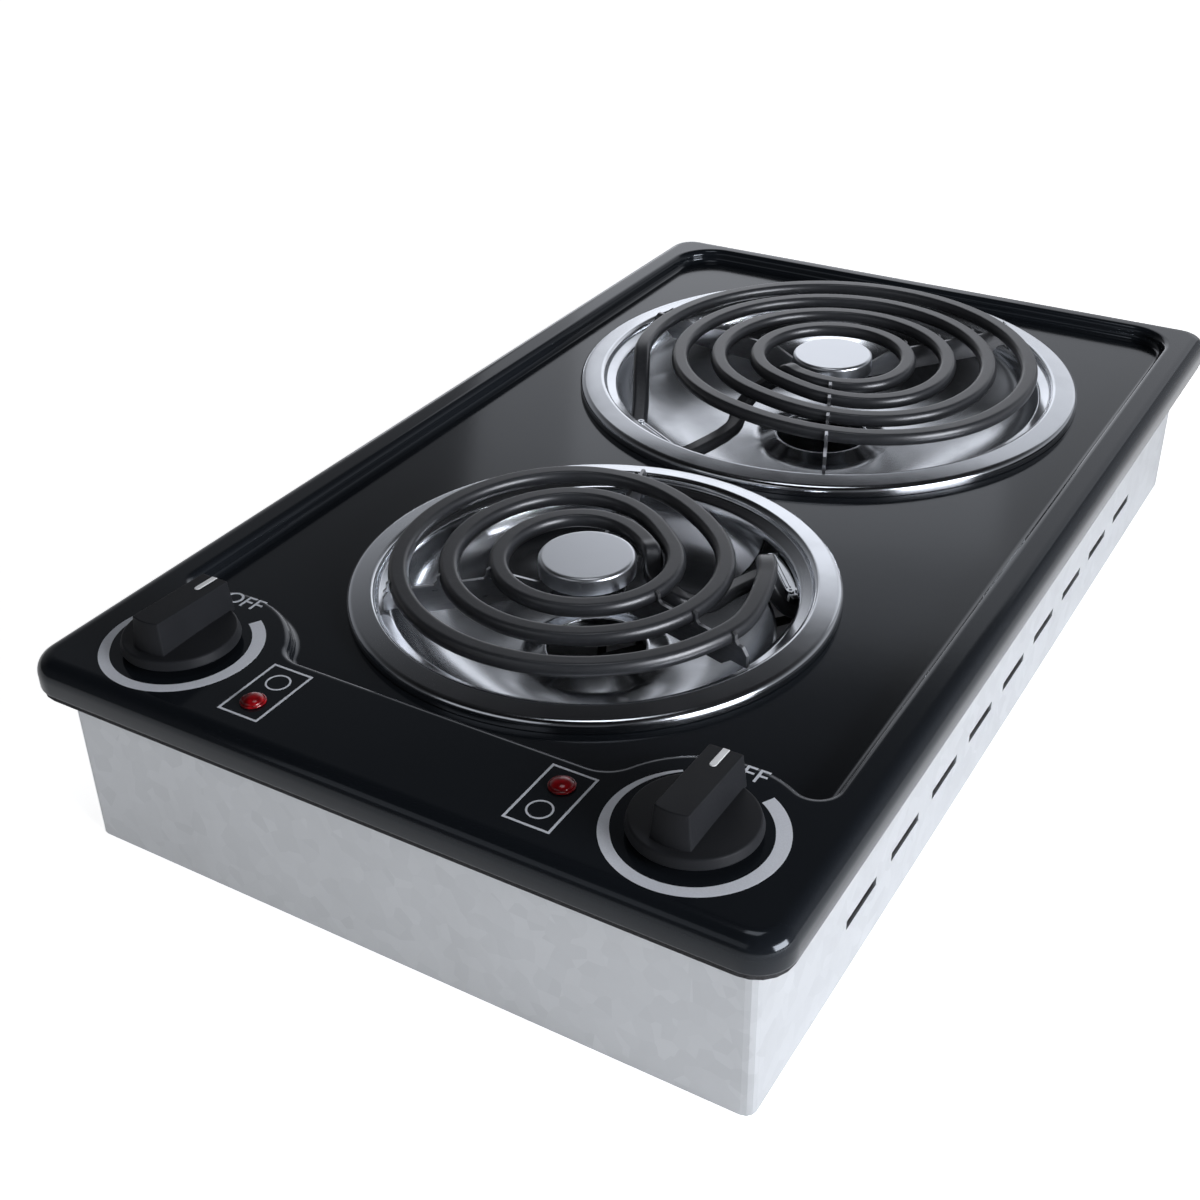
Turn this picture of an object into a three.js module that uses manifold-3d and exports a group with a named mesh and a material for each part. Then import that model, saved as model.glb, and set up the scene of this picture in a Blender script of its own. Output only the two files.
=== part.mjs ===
// Two-burner drop-in electric coil cooktop.
//
// Frame: millimetres, +Z up, the user stands at -Y. The origin is the middle of the
// underside of the burner box, so the part stands on Z = 0.

import * as THREE from 'three';
import { mergeVertices } from 'three/addons/utils/BufferGeometryUtils.js';
import Module from 'manifold-3d';

const wasm = await Module();
wasm.setup();

// Sheet panel
const panelWidth = 305;
const panelCornerRadius = 14;
const panelSheet = 1;
const worktopHeight = 71;
const flangeHeight = 13;
const flangeRoll = 7;
const hemWidth = 7.5;
const rimHeight = worktopHeight + flangeHeight;
const wellRecess = 6.5;
const wellHeight = rimHeight - wellRecess;
const sideRimWidth = 16.5;
const rearRimWidth = 13;
const controlStripDepth = 49;
const frontPanMargin = 8;
const frontLipRadius = 96.5;
const panSpacing = 3;
const rearLipRadius = 119.5;
const rearPanMargin = 3;
const wellDepth = frontPanMargin + 2 * frontLipRadius + panSpacing + 2 * rearLipRadius + rearPanMargin;
const panelDepth = controlStripDepth + wellDepth + rearRimWidth;
const wellHalfWidth = panelWidth / 2 - sideRimWidth;
const wellFrontY = controlStripDepth - panelDepth / 2;
const wellRearY = panelDepth / 2 - rearRimWidth;
const wellCornerRadius = 20;
const wellRoll = 2.4;
const knobIslandRadius = 39.5;
const islandFrontFillet = 12;
const islandSideFillet = 7;

// Clearances
const seatGap = 0.3;
const leastMitreShare = 0.6;
const slidingGap = 0.25;
const overrun = 2;
const weldDistance = 0.0001;

// Controls
const knobFromSide = 46.5;
const knobFromFront = 36.5;
const knobX = panelWidth / 2 - knobFromSide;
const knobY = knobFromFront - panelDepth / 2;
const knobSkirtRadius = 22;
const knobSkirtWall = 3.8;
const knobLift = 2.6;
const knobPush = 2;
const knobWall = 2;
const knobBarWidth = 12;
const knobBarBaseWidth = 14.6;
const knobBarFront = 16.4;
const knobBarRear = 21.6;
const knobBarRise = 12.6;
const knobBarFall = 1.6;
const knobBarDraft = 1.4;
const knobCrown = 1.2;
const pointerWidth = 2.4;
const pointerLength = 10.5;
const pointerDepth = 1.6;
const shaftRadius = 3;
const shaftFlat = 0.9;
const switchWidth = 44;
const switchDepth = 36;
const switchHeight = 30;
const switchBushRadius = 5;
const switchBushRise = 2.4;
const switchRoof = 2;
const switchTabLength = 8;
const switchTabWidth = 6.3;
const switchTabSheet = 0.8;
const switchScrewPitch = 26;
const screwRadius = 1.6;
const screwHeadRadius = 3;
const screwHeadHeight = 1.5;
const sleeveWall = 1.8;
const sleeveLength = 9;

// Pilot lamps
const lampFromKnob = 47;
const lampFromFront = 28;
const lampX = knobX - lampFromKnob;
const lampY = lampFromFront - panelDepth / 2;
const lampPitch = 13.2;
const lampLensRadius = 4;
const lampLensRise = 1.9;
const lensCrownShares = [[0.7, 0.82], [0.36, 0.97]];
const lampRimRadius = 4.7;
const lampRimHeight = 0.7;
const lampBodyRadius = 3.4;
const lampBodyLength = 22;
const lampNutRadius = 6.2;
const lampNutHeight = 0.8;

// Burners: one entry per heating element
const elementShift = 2;
const burnerSizes = {
  front: {
    panX: 0,
    panY: wellFrontY + frontPanMargin + frontLipRadius,
    lipRadius: frontLipRadius,
    faceWidth: 9,
    bowlFloorRadius: 33,
    drainRadius: 20,
    elementX: -elementShift,
    elementY: wellFrontY + frontPanMargin + frontLipRadius - elementShift,
    terminalTurn: 40,
    armTurn: 4,
    coilMargin: 11.9,
    turns: 3,
    innerRadius: 25.6,
    lastPitch: 8.8,
    coilStart: 48,
    tailShares: [
      [1.03, -0.18, -0.87],
      [0.966, -0.144, -0.52],
      [0.942, -0.128, -0.2],
      [0.932, -0.185, -0.03],
      [0.885, -0.357, 0],
    ],
  },
  rear: {
    panX: 0,
    panY: wellRearY - rearPanMargin - rearLipRadius,
    lipRadius: rearLipRadius,
    faceWidth: 10,
    bowlFloorRadius: 38,
    drainRadius: 22,
    elementX: elementShift * 3 / 2,
    elementY: wellRearY - rearPanMargin - rearLipRadius + elementShift / 2,
    terminalTurn: -120,
    armTurn: -8,
    coilMargin: 13.9,
    turns: 4,
    innerRadius: 26,
    lastPitch: 10,
    coilStart: 40,
    tailShares: [
      [1.054, -0.204, -0.87],
      [0.978, -0.312, -0.565],
      [0.892, -0.452, -0.239],
      [0.817, -0.57, -0.052],
    ],
  },
};

// Drip pans, heights above the well floor
const panSheet = 0.8;
const lipHeight = 6;
const lipRound = 2.6;
const faceFall = 1.2;
const ledgeHeight = 2.6;
const ledgeWidth = 5;
const panThroat = 1.6;
const bowlDepth = 31;
const drainCollarRise = 3.4;
const drainCollarWidth = 8;
const drainEdgeRound = 1;
const panOpeningGap = 3;
const panSteps = 32;
const bowlSteps = 5;

// Heating elements
const coilTubeRadius = 4;
const coilTopFlat = 0.6;
const coilPlane = 12;
const legSpacing = 28;
const legDrop = 23;
const legInset = 9;
const diveShares = [
  [1, -0.28, -0.32],
  [1.33, -0.51, -0.61],
  [1.76, -0.39, -0.85],
  [2.27, 0.08, -0.957],
];
const crossoverStart = 110;
const stepsPerTurn = 24;
const coilSides = 6;
const pinRadius = 2.3;
const pinLength = 24;
const clampPlate = 1.4;
const clampHeight = 11.4;
const clampMargin = 3;
const clampInset = 2.6;
const armPlate = 1.4;
const armTopDrop = 1.2;
const armDepth = 12.6;
const armTipGap = 2.2;
const footLength = 7.5;
const cradleSlack = 0.4;
const levelSlack = 0.5;
const cradleSteps = 6;
const armNeckDrop = 5;
const hubRadius = 15;
const hubPlate = 2;
const medallionRadius = 19.1;
const medallionRise = 3.1;
const medallionSkirt = 7.2;
const medallionSheet = 0.9;
const medallionEdge = 1.2;
const medallionPostRadius = 3.4;

// Receptacles
const blockWidth = 48;
const blockLength = 27;
const blockHeight = 12.4;
const blockInset = 3.6;
const pivotInset = 6;
const pivotPinRadius = 1.6;
const pivotPinReach = 4;
const terminalSlotGap = 2.5;
const terminalSlotTop = 1.5;
const terminalSlotDepth = 16;
const terminalSlotReach = 24;
const earSheet = 1.2;
const earWidth = 15;

// Burner box
const boxFromSide = 11;
const boxFromEnd = 10;
const boxWidth = panelWidth - 2 * boxFromSide;
const boxDepth = panelDepth - 2 * boxFromEnd;
const boxSheet = 0.9;
const boxCornerRadius = 4;
const boxTabWidth = 22;
const boxTabReach = 24;
const studRadius = 2;
const studLength = 8;
const studFromSide = 14.5;
const studFromFront = 86;
const studFromRear = 37;
const studX = boxWidth / 2 - studFromSide;
const studFrontY = studFromFront - boxDepth / 2;
const studRearY = boxDepth / 2 - studFromRear;
const nutRadius = 4;
const nutHeight = 3.2;
const ventCount = 9;
const ventLength = 26;
const ventHeight = 4;
const ventPitch = 40;
const ventLevel = 22;
const gasketSheet = 1.6;
const gasketWidth = 6;

// Supply inlet and leads
const inletFromSide = 49.5;
const inletFromRear = 32;
const inletX = boxWidth / 2 - inletFromSide;
const inletY = boxDepth / 2 - inletFromRear;
const inletRadius = 11;
const inletCollarWidth = 4;
const inletCollarRise = 9;
const inletBoreRadius = 8;
const stripWidth = 46;
const stripDepth = 20;
const stripHeight = 15;
const stripFromInlet = 36;
const stripX = inletX;
const stripY = inletY - stripFromInlet;
const leadRadius = 2;
const leadSides = 8;
const leadSteps = 18;
const leadBend = 8;
const startShare = 0.4;
const endShare = 0.3;
const leadLevelShares = {
  frontA: 0.59,
  frontB: 0.745,
  rearA: 0.44,
  rearB: 0.285,
  supply: 0.15,
};

// Heights that follow from the sizes above
const coilHeight = wellHeight + coilPlane;
const legHeight = coilHeight - legDrop;
const wellUnderside = wellHeight - panelSheet;
const rimUnderside = rimHeight - panelSheet;
const bowlFoot = wellHeight - bowlDepth - panSheet;

// Helpers

const cooktop = new THREE.Group();
const radians = THREE.MathUtils.degToRad;
const fullTurn = 360;

function finish(color, roughness, metalness) {
  return new THREE.MeshStandardMaterial({ color, roughness, metalness });
}

const looks = {
  enamel: () => finish(0x0b0b0d, 0.12, 0),
  chrome: () => finish(0xc9ccd1, 0.12, 1),
  sheath: () => finish(0x3a3d40, 0.5, 0.6),
  steel: () => finish(0x9a9da0, 0.4, 0.9),
  galvanised: () => finish(0x8f9497, 0.5, 0.8),
  plastic: () => finish(0x131314, 0.55, 0),
  white: () => finish(0xf2f2ee, 0.4, 0),
  red: () => finish(0x8c0f14, 0.15, 0),
  ceramic: () => finish(0xd8d2c4, 0.7, 0),
  phenolic: () => finish(0x2a2422, 0.6, 0),
  brass: () => finish(0xb59a55, 0.35, 1),
  foam: () => finish(0x1b1b1c, 0.95, 0),
  sleeving: () => finish(0x6d2020, 0.7, 0),
};

// Signed volume, used to turn a loft or a revolve the right way out.
function signedVolume(geometry) {
  const flat = geometry.index ? geometry.toNonIndexed() : geometry;
  const place = flat.getAttribute('position');
  const a = new THREE.Vector3();
  const b = new THREE.Vector3();
  const c = new THREE.Vector3();
  let sum = 0;
  for (let i = 0; i < place.count; i += 3) {
    a.fromBufferAttribute(place, i);
    b.fromBufferAttribute(place, i + 1);
    c.fromBufferAttribute(place, i + 2);
    sum += a.dot(b.cross(c));
  }
  return sum / 6;
}

function outward(geometry) {
  if (signedVolume(geometry) < 0) {
    const index = geometry.index.array;
    for (let i = 0; i < index.length; i += 3) {
      [index[i], index[i + 1]] = [index[i + 1], index[i]];
    }
  }
  return geometry;
}

function welded(geometry) {
  const bare = new THREE.BufferGeometry();
  bare.setAttribute('position', geometry.getAttribute('position').clone());
  if (geometry.index) {
    bare.setIndex(geometry.index.clone());
  }
  return outward(mergeVertices(bare, weldDistance));
}

function solid(geometry) {
  const clean = welded(geometry);
  return new wasm.Manifold(new wasm.Mesh({
    numProp: 3,
    vertProperties: new Float32Array(clean.getAttribute('position').array),
    triVerts: new Uint32Array(clean.index.array),
  }));
}

function joined(first, ...rest) {
  return rest.reduce((sum, next) => sum.add(next), first);
}

function cutBy(first, ...rest) {
  return rest.reduce((left, next) => left.subtract(next), first);
}

function geometryOf(shape) {
  if (shape instanceof THREE.BufferGeometry) {
    return welded(shape);
  }
  const mesh = shape.getMesh();
  const geometry = new THREE.BufferGeometry();
  geometry.setAttribute('position', new THREE.BufferAttribute(mesh.vertProperties, 3));
  geometry.setIndex(new THREE.BufferAttribute(mesh.triVerts, 1));
  return geometry;
}

function piece(name, shape, look, parent = cooktop) {
  const mesh = new THREE.Mesh(geometryOf(shape), looks[look]());
  mesh.geometry.computeVertexNormals();
  mesh.name = name;
  parent.add(mesh);
  return mesh;
}

// A box by its middle in X and Y and its lower face in Z.
function box(width, depth, height, x, y, z) {
  return new THREE.BoxGeometry(width, depth, height).translate(x, y, z + height / 2);
}

function post(radius, height, x, y, z, sides = 20) {
  return new THREE.CylinderGeometry(radius, radius, height, sides)
    .rotateX(Math.PI / 2)
    .translate(x, y, z + height / 2);
}

// A rod along X that starts at x.
function rodX(radius, length, x, y, z, sides = 12) {
  return new THREE.CylinderGeometry(radius, radius, length, sides)
    .rotateZ(Math.PI / 2)
    .translate(x + length / 2, y, z);
}

// A rod along Y with its middle at y.
function rodY(radius, length, x, y, z, sides = 12) {
  return new THREE.CylinderGeometry(radius, radius, length, sides).translate(x, y, z);
}

// A closed profile of [radius, height] points turned about Z.
function revolved(profile, steps) {
  const points = profile.map(([r, z]) => new THREE.Vector2(r, z));
  return new THREE.LatheGeometry(points, steps).rotateX(Math.PI / 2);
}

// A flat outline in X and Z made into a plate of the given thickness about Y = 0.
function uprightPlate(outline, thickness) {
  const shape = new THREE.Shape(outline.map(([x, z]) => new THREE.Vector2(x, z)));
  return new THREE.ExtrudeGeometry(shape, { depth: thickness, bevelEnabled: false })
    .rotateX(Math.PI / 2)
    .translate(0, thickness / 2, 0);
}

// A closed body through rings of equally many points. Level rings of any outline are
// capped by triangulation.
function loft(rings, levelCaps = false) {
  const count = rings[0].length;
  const positions = [];
  for (const ring of rings) {
    for (const point of ring) {
      positions.push(point.x, point.y, point.z);
    }
  }
  const index = [];
  for (let k = 0; k + 1 < rings.length; k += 1) {
    for (let i = 0; i < count; i += 1) {
      const j = (i + 1) % count;
      const a = k * count + i;
      const b = k * count + j;
      index.push(a, b, b + count, a, b + count, a + count);
    }
  }
  const first = rings[0].map((point) => new THREE.Vector2(point.x, point.y));
  const faces = levelCaps
    ? THREE.ShapeUtils.triangulateShape(first, [])
    : first.slice(2).map((point, i) => [0, i + 1, i + 2]);
  const top = (rings.length - 1) * count;
  const bottomFaces = levelCaps && THREE.ShapeUtils.isClockWise(first)
    ? faces.map(([a, b, c]) => [a, c, b])
    : faces;
  for (const [a, b, c] of bottomFaces) {
    index.push(c, b, a);
    index.push(top + a, top + b, top + c);
  }
  const geometry = new THREE.BufferGeometry();
  geometry.setAttribute('position', new THREE.Float32BufferAttribute(positions, 3));
  geometry.setIndex(index);
  return outward(geometry);
}

// The outline moved inward by a distance, point by point along its own normals.
function inset(outline, distance) {
  const count = outline.length;
  return outline.map((point, i) => {
    const before = outline[(i + count - 1) % count];
    const after = outline[(i + 1) % count];
    const incoming = point.clone().sub(before).normalize();
    const outgoing = after.clone().sub(point).normalize();
    const normal = new THREE.Vector2(-incoming.y - outgoing.y, incoming.x + outgoing.x).normalize();
    const spread = Math.max(normal.dot(new THREE.Vector2(-incoming.y, incoming.x)), leastMitreShare);
    return point.clone().addScaledVector(normal, distance / spread);
  });
}

function raised(outline, height) {
  return outline.map((point) => new THREE.Vector3(point.x, point.y, height));
}

function withoutRepeats(points) {
  return points.filter((point, i) => {
    const next = points[(i + 1) % points.length];
    return point.distanceTo(next) > seatGap / 2;
  });
}

function arcPoints(x, y, radius, from, to, steps) {
  const points = [];
  for (let i = 0; i <= steps; i += 1) {
    const angle = from + (to - from) * i / steps;
    points.push(new THREE.Vector2(x + radius * Math.cos(angle), y + radius * Math.sin(angle)));
  }
  return points;
}

// A rectangle with rounded corners, counterclockwise, middle at x, y.
function roundedOutline(width, depth, radius, x = 0, y = 0, cornerSteps = 5) {
  const points = [];
  const corners = [[1, 1, 0], [-1, 1, 1], [-1, -1, 2], [1, -1, 3]];
  for (const [sideX, sideY, quarter] of corners) {
    const start = quarter * Math.PI / 2;
    points.push(...arcPoints(
      x + sideX * (width / 2 - radius),
      y + sideY * (depth / 2 - radius),
      radius,
      start,
      start + Math.PI / 2,
      cornerSteps,
    ));
  }
  return withoutRepeats(points);
}

// Sheet panel

// The recess outline: straight sides and rear, and a front edge that swings round each
// control and meets the front line and the side line in fillets.
function wellOutline() {
  const frontCentreX = knobX - Math.sqrt(
    (knobIslandRadius + islandFrontFillet) ** 2 - (wellFrontY + islandFrontFillet - knobY) ** 2,
  );
  const frontCentreY = wellFrontY + islandFrontFillet;
  const sideCentreX = wellHalfWidth - islandSideFillet;
  const sideCentreY = knobY + Math.sqrt(
    (knobIslandRadius + islandSideFillet) ** 2 - (sideCentreX - knobX) ** 2,
  );
  const toFront = Math.atan2(frontCentreY - knobY, frontCentreX - knobX);
  const toSide = Math.atan2(sideCentreY - knobY, sideCentreX - knobX);
  const right = [
    ...arcPoints(frontCentreX, frontCentreY, islandFrontFillet, -Math.PI / 2, toFront - Math.PI, 5),
    ...arcPoints(knobX, knobY, knobIslandRadius, toFront, toSide, 10),
    ...arcPoints(sideCentreX, sideCentreY, islandSideFillet, toSide - Math.PI, 0, 5),
    ...arcPoints(
      wellHalfWidth - wellCornerRadius,
      wellRearY - wellCornerRadius,
      wellCornerRadius,
      0,
      Math.PI / 2,
      5,
    ),
  ];
  const left = right.map((point) => new THREE.Vector2(-point.x, point.y)).reverse();
  return withoutRepeats([...right, ...left]);
}

// Quarter-round steps as [inset, drop] pairs from the flat top to the upright side.
function rollSteps(radius, steps) {
  const pairs = [];
  for (let i = 0; i <= steps; i += 1) {
    const angle = Math.PI / 2 * i / steps;
    pairs.push([radius * (1 - Math.sin(angle)), radius * (1 - Math.cos(angle))]);
  }
  return pairs;
}

function pannedBlock(outline, top, bottom, radius) {
  const rolled = rollSteps(radius, 4).map(([inward, drop]) => raised(inset(outline, inward), top - drop));
  return loft([...rolled, raised(outline, bottom)].reverse(), true);
}

const wellShape = wellOutline();
const rimOutline = roundedOutline(panelWidth, panelDepth, panelCornerRadius);
const innerOutline = roundedOutline(
  panelWidth - 2 * panelSheet,
  panelDepth - 2 * panelSheet,
  panelCornerRadius - panelSheet,
);
const hemOutline = roundedOutline(
  panelWidth - 2 * (panelSheet + hemWidth),
  panelDepth - 2 * (panelSheet + hemWidth),
  panelCornerRadius - hemWidth,
);

// The recess as a tool: its upper edge flares in a roll, its foot stands square.
function wellTool(outline, floor, rollRadius) {
  const flare = rollSteps(rollRadius, 3).map(([inward, drop]) => (
    raised(inset(outline, -inward), rimHeight - drop)
  ));
  const mouth = inset(outline, -rollRadius);
  return loft([raised(mouth, rimHeight + overrun), ...flare, raised(outline, floor)].reverse(), true);
}

function lampPlaces() {
  return [
    { side: 'left', x: -lampX, y: lampY - lampPitch / 2 },
    { side: 'right', x: lampX, y: lampY + lampPitch / 2 },
  ];
}

const studPlaces = [
  [studX, studFrontY],
  [-studX, studFrontY],
  [studX, studRearY],
  [-studX, studRearY],
];

function panelSolid() {
  const outer = solid(pannedBlock(rimOutline, rimHeight, worktopHeight, flangeRoll));
  const inner = solid(pannedBlock(
    innerOutline,
    rimUnderside,
    worktopHeight + panelSheet,
    flangeRoll - panelSheet,
  ));
  const hemMouth = solid(loft([
    raised(hemOutline, worktopHeight - overrun),
    raised(hemOutline, worktopHeight + overrun),
  ], true));
  const wellWall = solid(loft([
    raised(inset(wellShape, -panelSheet), wellUnderside),
    raised(inset(wellShape, -panelSheet), rimHeight - wellRoll),
    raised(inset(wellShape, -panelSheet - wellRoll), rimUnderside),
  ], true));
  const well = solid(wellTool(wellShape, wellHeight, wellRoll));
  let panel = cutBy(joined(cutBy(outer, inner, hemMouth), wellWall), well);
  for (const size of Object.values(burnerSizes)) {
    panel = panel.subtract(solid(post(
      openingRadius(size),
      panelSheet + 2 * overrun,
      size.panX,
      size.panY,
      wellUnderside - overrun,
      panSteps,
    )));
  }
  const holeDepth = panelSheet + 2 * overrun;
  for (const side of [-1, 1]) {
    panel = cutBy(
      panel,
      solid(post(
        switchBushRadius + slidingGap,
        holeDepth,
        side * knobX,
        knobY,
        rimUnderside - overrun,
        20,
      )),
      solid(post(
        screwRadius + slidingGap,
        holeDepth,
        side * knobX - switchScrewPitch / 2,
        knobY,
        rimUnderside - overrun,
        10,
      )),
      solid(post(
        screwRadius + slidingGap,
        holeDepth,
        side * knobX + switchScrewPitch / 2,
        knobY,
        rimUnderside - overrun,
        10,
      )),
    );
  }
  for (const { x, y } of lampPlaces()) {
    const hole = post(lampBodyRadius + slidingGap, holeDepth, x, y, rimUnderside - overrun, 16);
    panel = panel.subtract(solid(hole));
  }
  for (const [x, y] of studPlaces) {
    const stud = post(studRadius, studLength + panelSheet / 2, x, y, wellUnderside - studLength, 10);
    panel = panel.add(solid(stud));
  }
  return panel;
}

function openingRadius(size) {
  return wallRadius(size) + panOpeningGap;
}

function wallRadius(size) {
  return size.lipRadius - lipRound - size.faceWidth;
}

// Drip pans

// An open line of [radius, height] points given a sheet thickness on its right-hand side.
function thickened(line, thickness) {
  const other = line.map(([r, z], i) => {
    const [r0, z0] = line[Math.max(i - 1, 0)];
    const [r1, z1] = line[Math.min(i + 1, line.length - 1)];
    const before = new THREE.Vector2(r - r0, z - z0).normalize();
    const after = new THREE.Vector2(r1 - r, z1 - z).normalize();
    const along = before.clone().add(after).normalize();
    const facing = i === 0 ? after : before.lengthSq() > 0 ? before : after;
    const spread = Math.max(along.dot(facing), leastMitreShare);
    return [r + along.y * thickness / spread, z - along.x * thickness / spread];
  });
  const closed = [...line, ...other.reverse()];
  return [...closed, closed[0]];
}

function panLine(size) {
  const wall = wallRadius(size);
  const lip = size.lipRadius;
  const faceFoot = lipHeight - faceFall;
  const bowlTop = ledgeHeight - panThroat;
  const bowlRadius = wall - ledgeWidth - panThroat / 2;
  const collarTop = drainCollarRise - bowlDepth;
  const line = [
    [lip, seatGap],
    [lip, faceFoot - lipRound],
    [lip - lipRound * (1 - Math.SQRT1_2), faceFoot - lipRound * (1 - Math.SQRT1_2)],
    [lip - lipRound, faceFoot],
    [wall + panThroat, lipHeight],
    [wall, ledgeHeight],
    [wall - ledgeWidth, ledgeHeight],
  ];
  for (let i = 0; i <= bowlSteps; i += 1) {
    const angle = Math.PI / 2 * i / bowlSteps;
    line.push([
      size.bowlFloorRadius + (bowlRadius - size.bowlFloorRadius) * Math.cos(angle),
      bowlTop - (bowlTop + bowlDepth) * Math.sin(angle),
    ]);
  }
  line.push(
    [size.drainRadius + drainCollarWidth / 2, collarTop],
    [size.drainRadius, collarTop - drainEdgeRound],
    [size.drainRadius, -bowlDepth],
  );
  return line.reverse().map(([r, z]) => [r, z + wellHeight]);
}

// Distance from the element's middle to the pan wall, along the terminals.
function wallAlongTerminals(size) {
  const turn = radians(size.terminalTurn);
  const shift = new THREE.Vector2(size.panX - size.elementX, size.panY - size.elementY);
  return wallRadius(size) + shift.x * Math.cos(turn) + shift.y * Math.sin(turn);
}

// Where a line from the element's middle meets a circle round the pan's middle.
function reachTo(size, radius, localAngle) {
  const angle = radians(size.terminalTurn + localAngle);
  const shift = new THREE.Vector2(size.elementX - size.panX, size.elementY - size.panY);
  const along = shift.x * Math.cos(angle) + shift.y * Math.sin(angle);
  return -along + Math.sqrt(radius ** 2 - shift.lengthSq() + along ** 2);
}

// Element coordinates (X along the terminals, origin at the element's middle) to the cooktop's.
function placed(geometry, size) {
  return geometry.rotateZ(radians(size.terminalTurn)).translate(size.elementX, size.elementY, 0);
}

function panSolid(size) {
  const pan = solid(
    revolved(thickened(panLine(size), panSheet), panSteps).translate(size.panX, size.panY, 0),
  );
  const slotStart = wallAlongTerminals(size) - terminalSlotReach;
  const slotLength = terminalSlotReach + overrun;
  const slot = box(
    slotLength,
    blockWidth + 2 * terminalSlotGap,
    terminalSlotDepth,
    slotStart + slotLength / 2,
    0,
    wellHeight - terminalSlotTop - terminalSlotDepth,
  );
  return pan.subtract(solid(placed(slot, size)));
}

// Heating elements

// Radii that the winding holds, from the outer turn inward: even steps, then the last pitch.
function turnRadii(size) {
  const outer = wallRadius(size) - size.coilMargin;
  const last = size.innerRadius + size.lastPitch;
  const radii = [];
  for (let i = 0; i < size.turns; i += 1) {
    radii.push(outer + (last - outer) * i / (size.turns - 1));
  }
  return [...radii, size.innerRadius];
}

// Radius of the winding at an angle turned clockwise from the terminals. Each turn keeps
// one radius, then crosses over to the next in the last part of its round.
function windingRadius(size, clockwise) {
  const radii = turnRadii(size);
  const turn = Math.min(Math.floor(clockwise / fullTurn), size.turns - 1);
  const within = clockwise - fullTurn * turn;
  const share = THREE.MathUtils.smootherstep(within, fullTurn - crossoverStart, fullTurn);
  return THREE.MathUtils.lerp(radii[turn], radii[turn + 1], share);
}

function coilPath(size) {
  const wall = wallAlongTerminals(size);
  const outerRadius = turnRadii(size)[0];
  const legEnd = wall + blockInset - 4 * seatGap;
  const control = [
    [legEnd, -legSpacing / 2, -legDrop],
    [wall - legInset / 2, -legSpacing / 2, -legDrop],
    [wall - legInset, -legSpacing / 2, -legDrop],
    ...size.tailShares.map(([x, y, z]) => [x * outerRadius, y * outerRadius, z * legDrop]),
  ];
  const firstSpiral = control.length;
  const total = fullTurn * size.turns;
  const count = Math.round((total - size.coilStart) / fullTurn * stepsPerTurn);
  for (let i = 0; i <= count; i += 1) {
    const clockwise = size.coilStart + (total - size.coilStart) * i / count;
    const radius = windingRadius(size, clockwise);
    const angle = -radians(clockwise);
    control.push([radius * Math.cos(angle), radius * Math.sin(angle), 0]);
  }
  const lastSpiral = control.length - 1;
  control.push(
    ...diveShares.map(([x, y, z]) => [x * size.innerRadius, y * size.innerRadius, z * legDrop]),
    [wall - legInset, legSpacing / 2, -legDrop],
    [wall - legInset / 2, legSpacing / 2, -legDrop],
    [legEnd, legSpacing / 2, -legDrop],
  );
  const points = control.map(([x, y, z]) => new THREE.Vector3(x, y, z + coilHeight));
  const curve = new THREE.CatmullRomCurve3(points, false, 'centripetal');
  const path = [];
  let spiralStart = 0;
  for (let i = 0; i < points.length; i += 1) {
    if (i === firstSpiral) {
      spiralStart = path.length;
    }
    const inSpiral = i >= firstSpiral && i < lastSpiral;
    const parts = inSpiral || i === points.length - 1 ? 1 : 2;
    for (let k = 0; k < parts; k += 1) {
      path.push(curve.getPoint((i + k / parts) / (points.length - 1)));
    }
  }
  return { path, spiralStart };
}

// Tube rings whose flat stays level through the winding and turns least along the tails.
function tubeRings(path, from, radius, sides, flat) {
  const tangents = path.map((point, i) => {
    const before = path[Math.max(i - 1, 0)];
    const after = path[Math.min(i + 1, path.length - 1)];
    return after.clone().sub(before).normalize();
  });
  const ups = new Array(path.length);
  ups[from] = new THREE.Vector3(0, 0, 1);
  const carry = (i, next) => {
    const turn = new THREE.Quaternion().setFromUnitVectors(tangents[i], tangents[next]);
    ups[next] = ups[i].clone().applyQuaternion(turn);
  };
  for (let i = from; i + 1 < path.length; i += 1) {
    carry(i, i + 1);
  }
  for (let i = from; i > 0; i -= 1) {
    carry(i, i - 1);
  }
  return path.map((point, i) => {
    const side = new THREE.Vector3().crossVectors(tangents[i], ups[i]).normalize();
    const ring = [];
    for (let k = 0; k < sides; k += 1) {
      const angle = 2 * Math.PI * k / sides;
      const height = Math.min(radius * Math.sin(angle), radius - flat);
      ring.push(point.clone()
        .addScaledVector(side, radius * Math.cos(angle))
        .addScaledVector(ups[i], height));
    }
    return ring;
  });
}

// Least gap of a winding to itself, measured on points a third of a step apart.
function leastGap(path, radius) {
  const fine = new THREE.CatmullRomCurve3(path, false, 'centripetal').getPoints(3 * path.length);
  const along = [0];
  for (let i = 1; i < fine.length; i += 1) {
    along.push(along[i - 1] + fine[i].distanceTo(fine[i - 1]));
  }
  let least = Infinity;
  for (let i = 0; i < fine.length; i += 1) {
    for (let j = i + 1; j < fine.length; j += 1) {
      if (along[j] - along[i] > 8 * radius) {
        least = Math.min(least, fine[i].distanceTo(fine[j]));
      }
    }
  }
  return least - 2 * radius;
}

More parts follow.
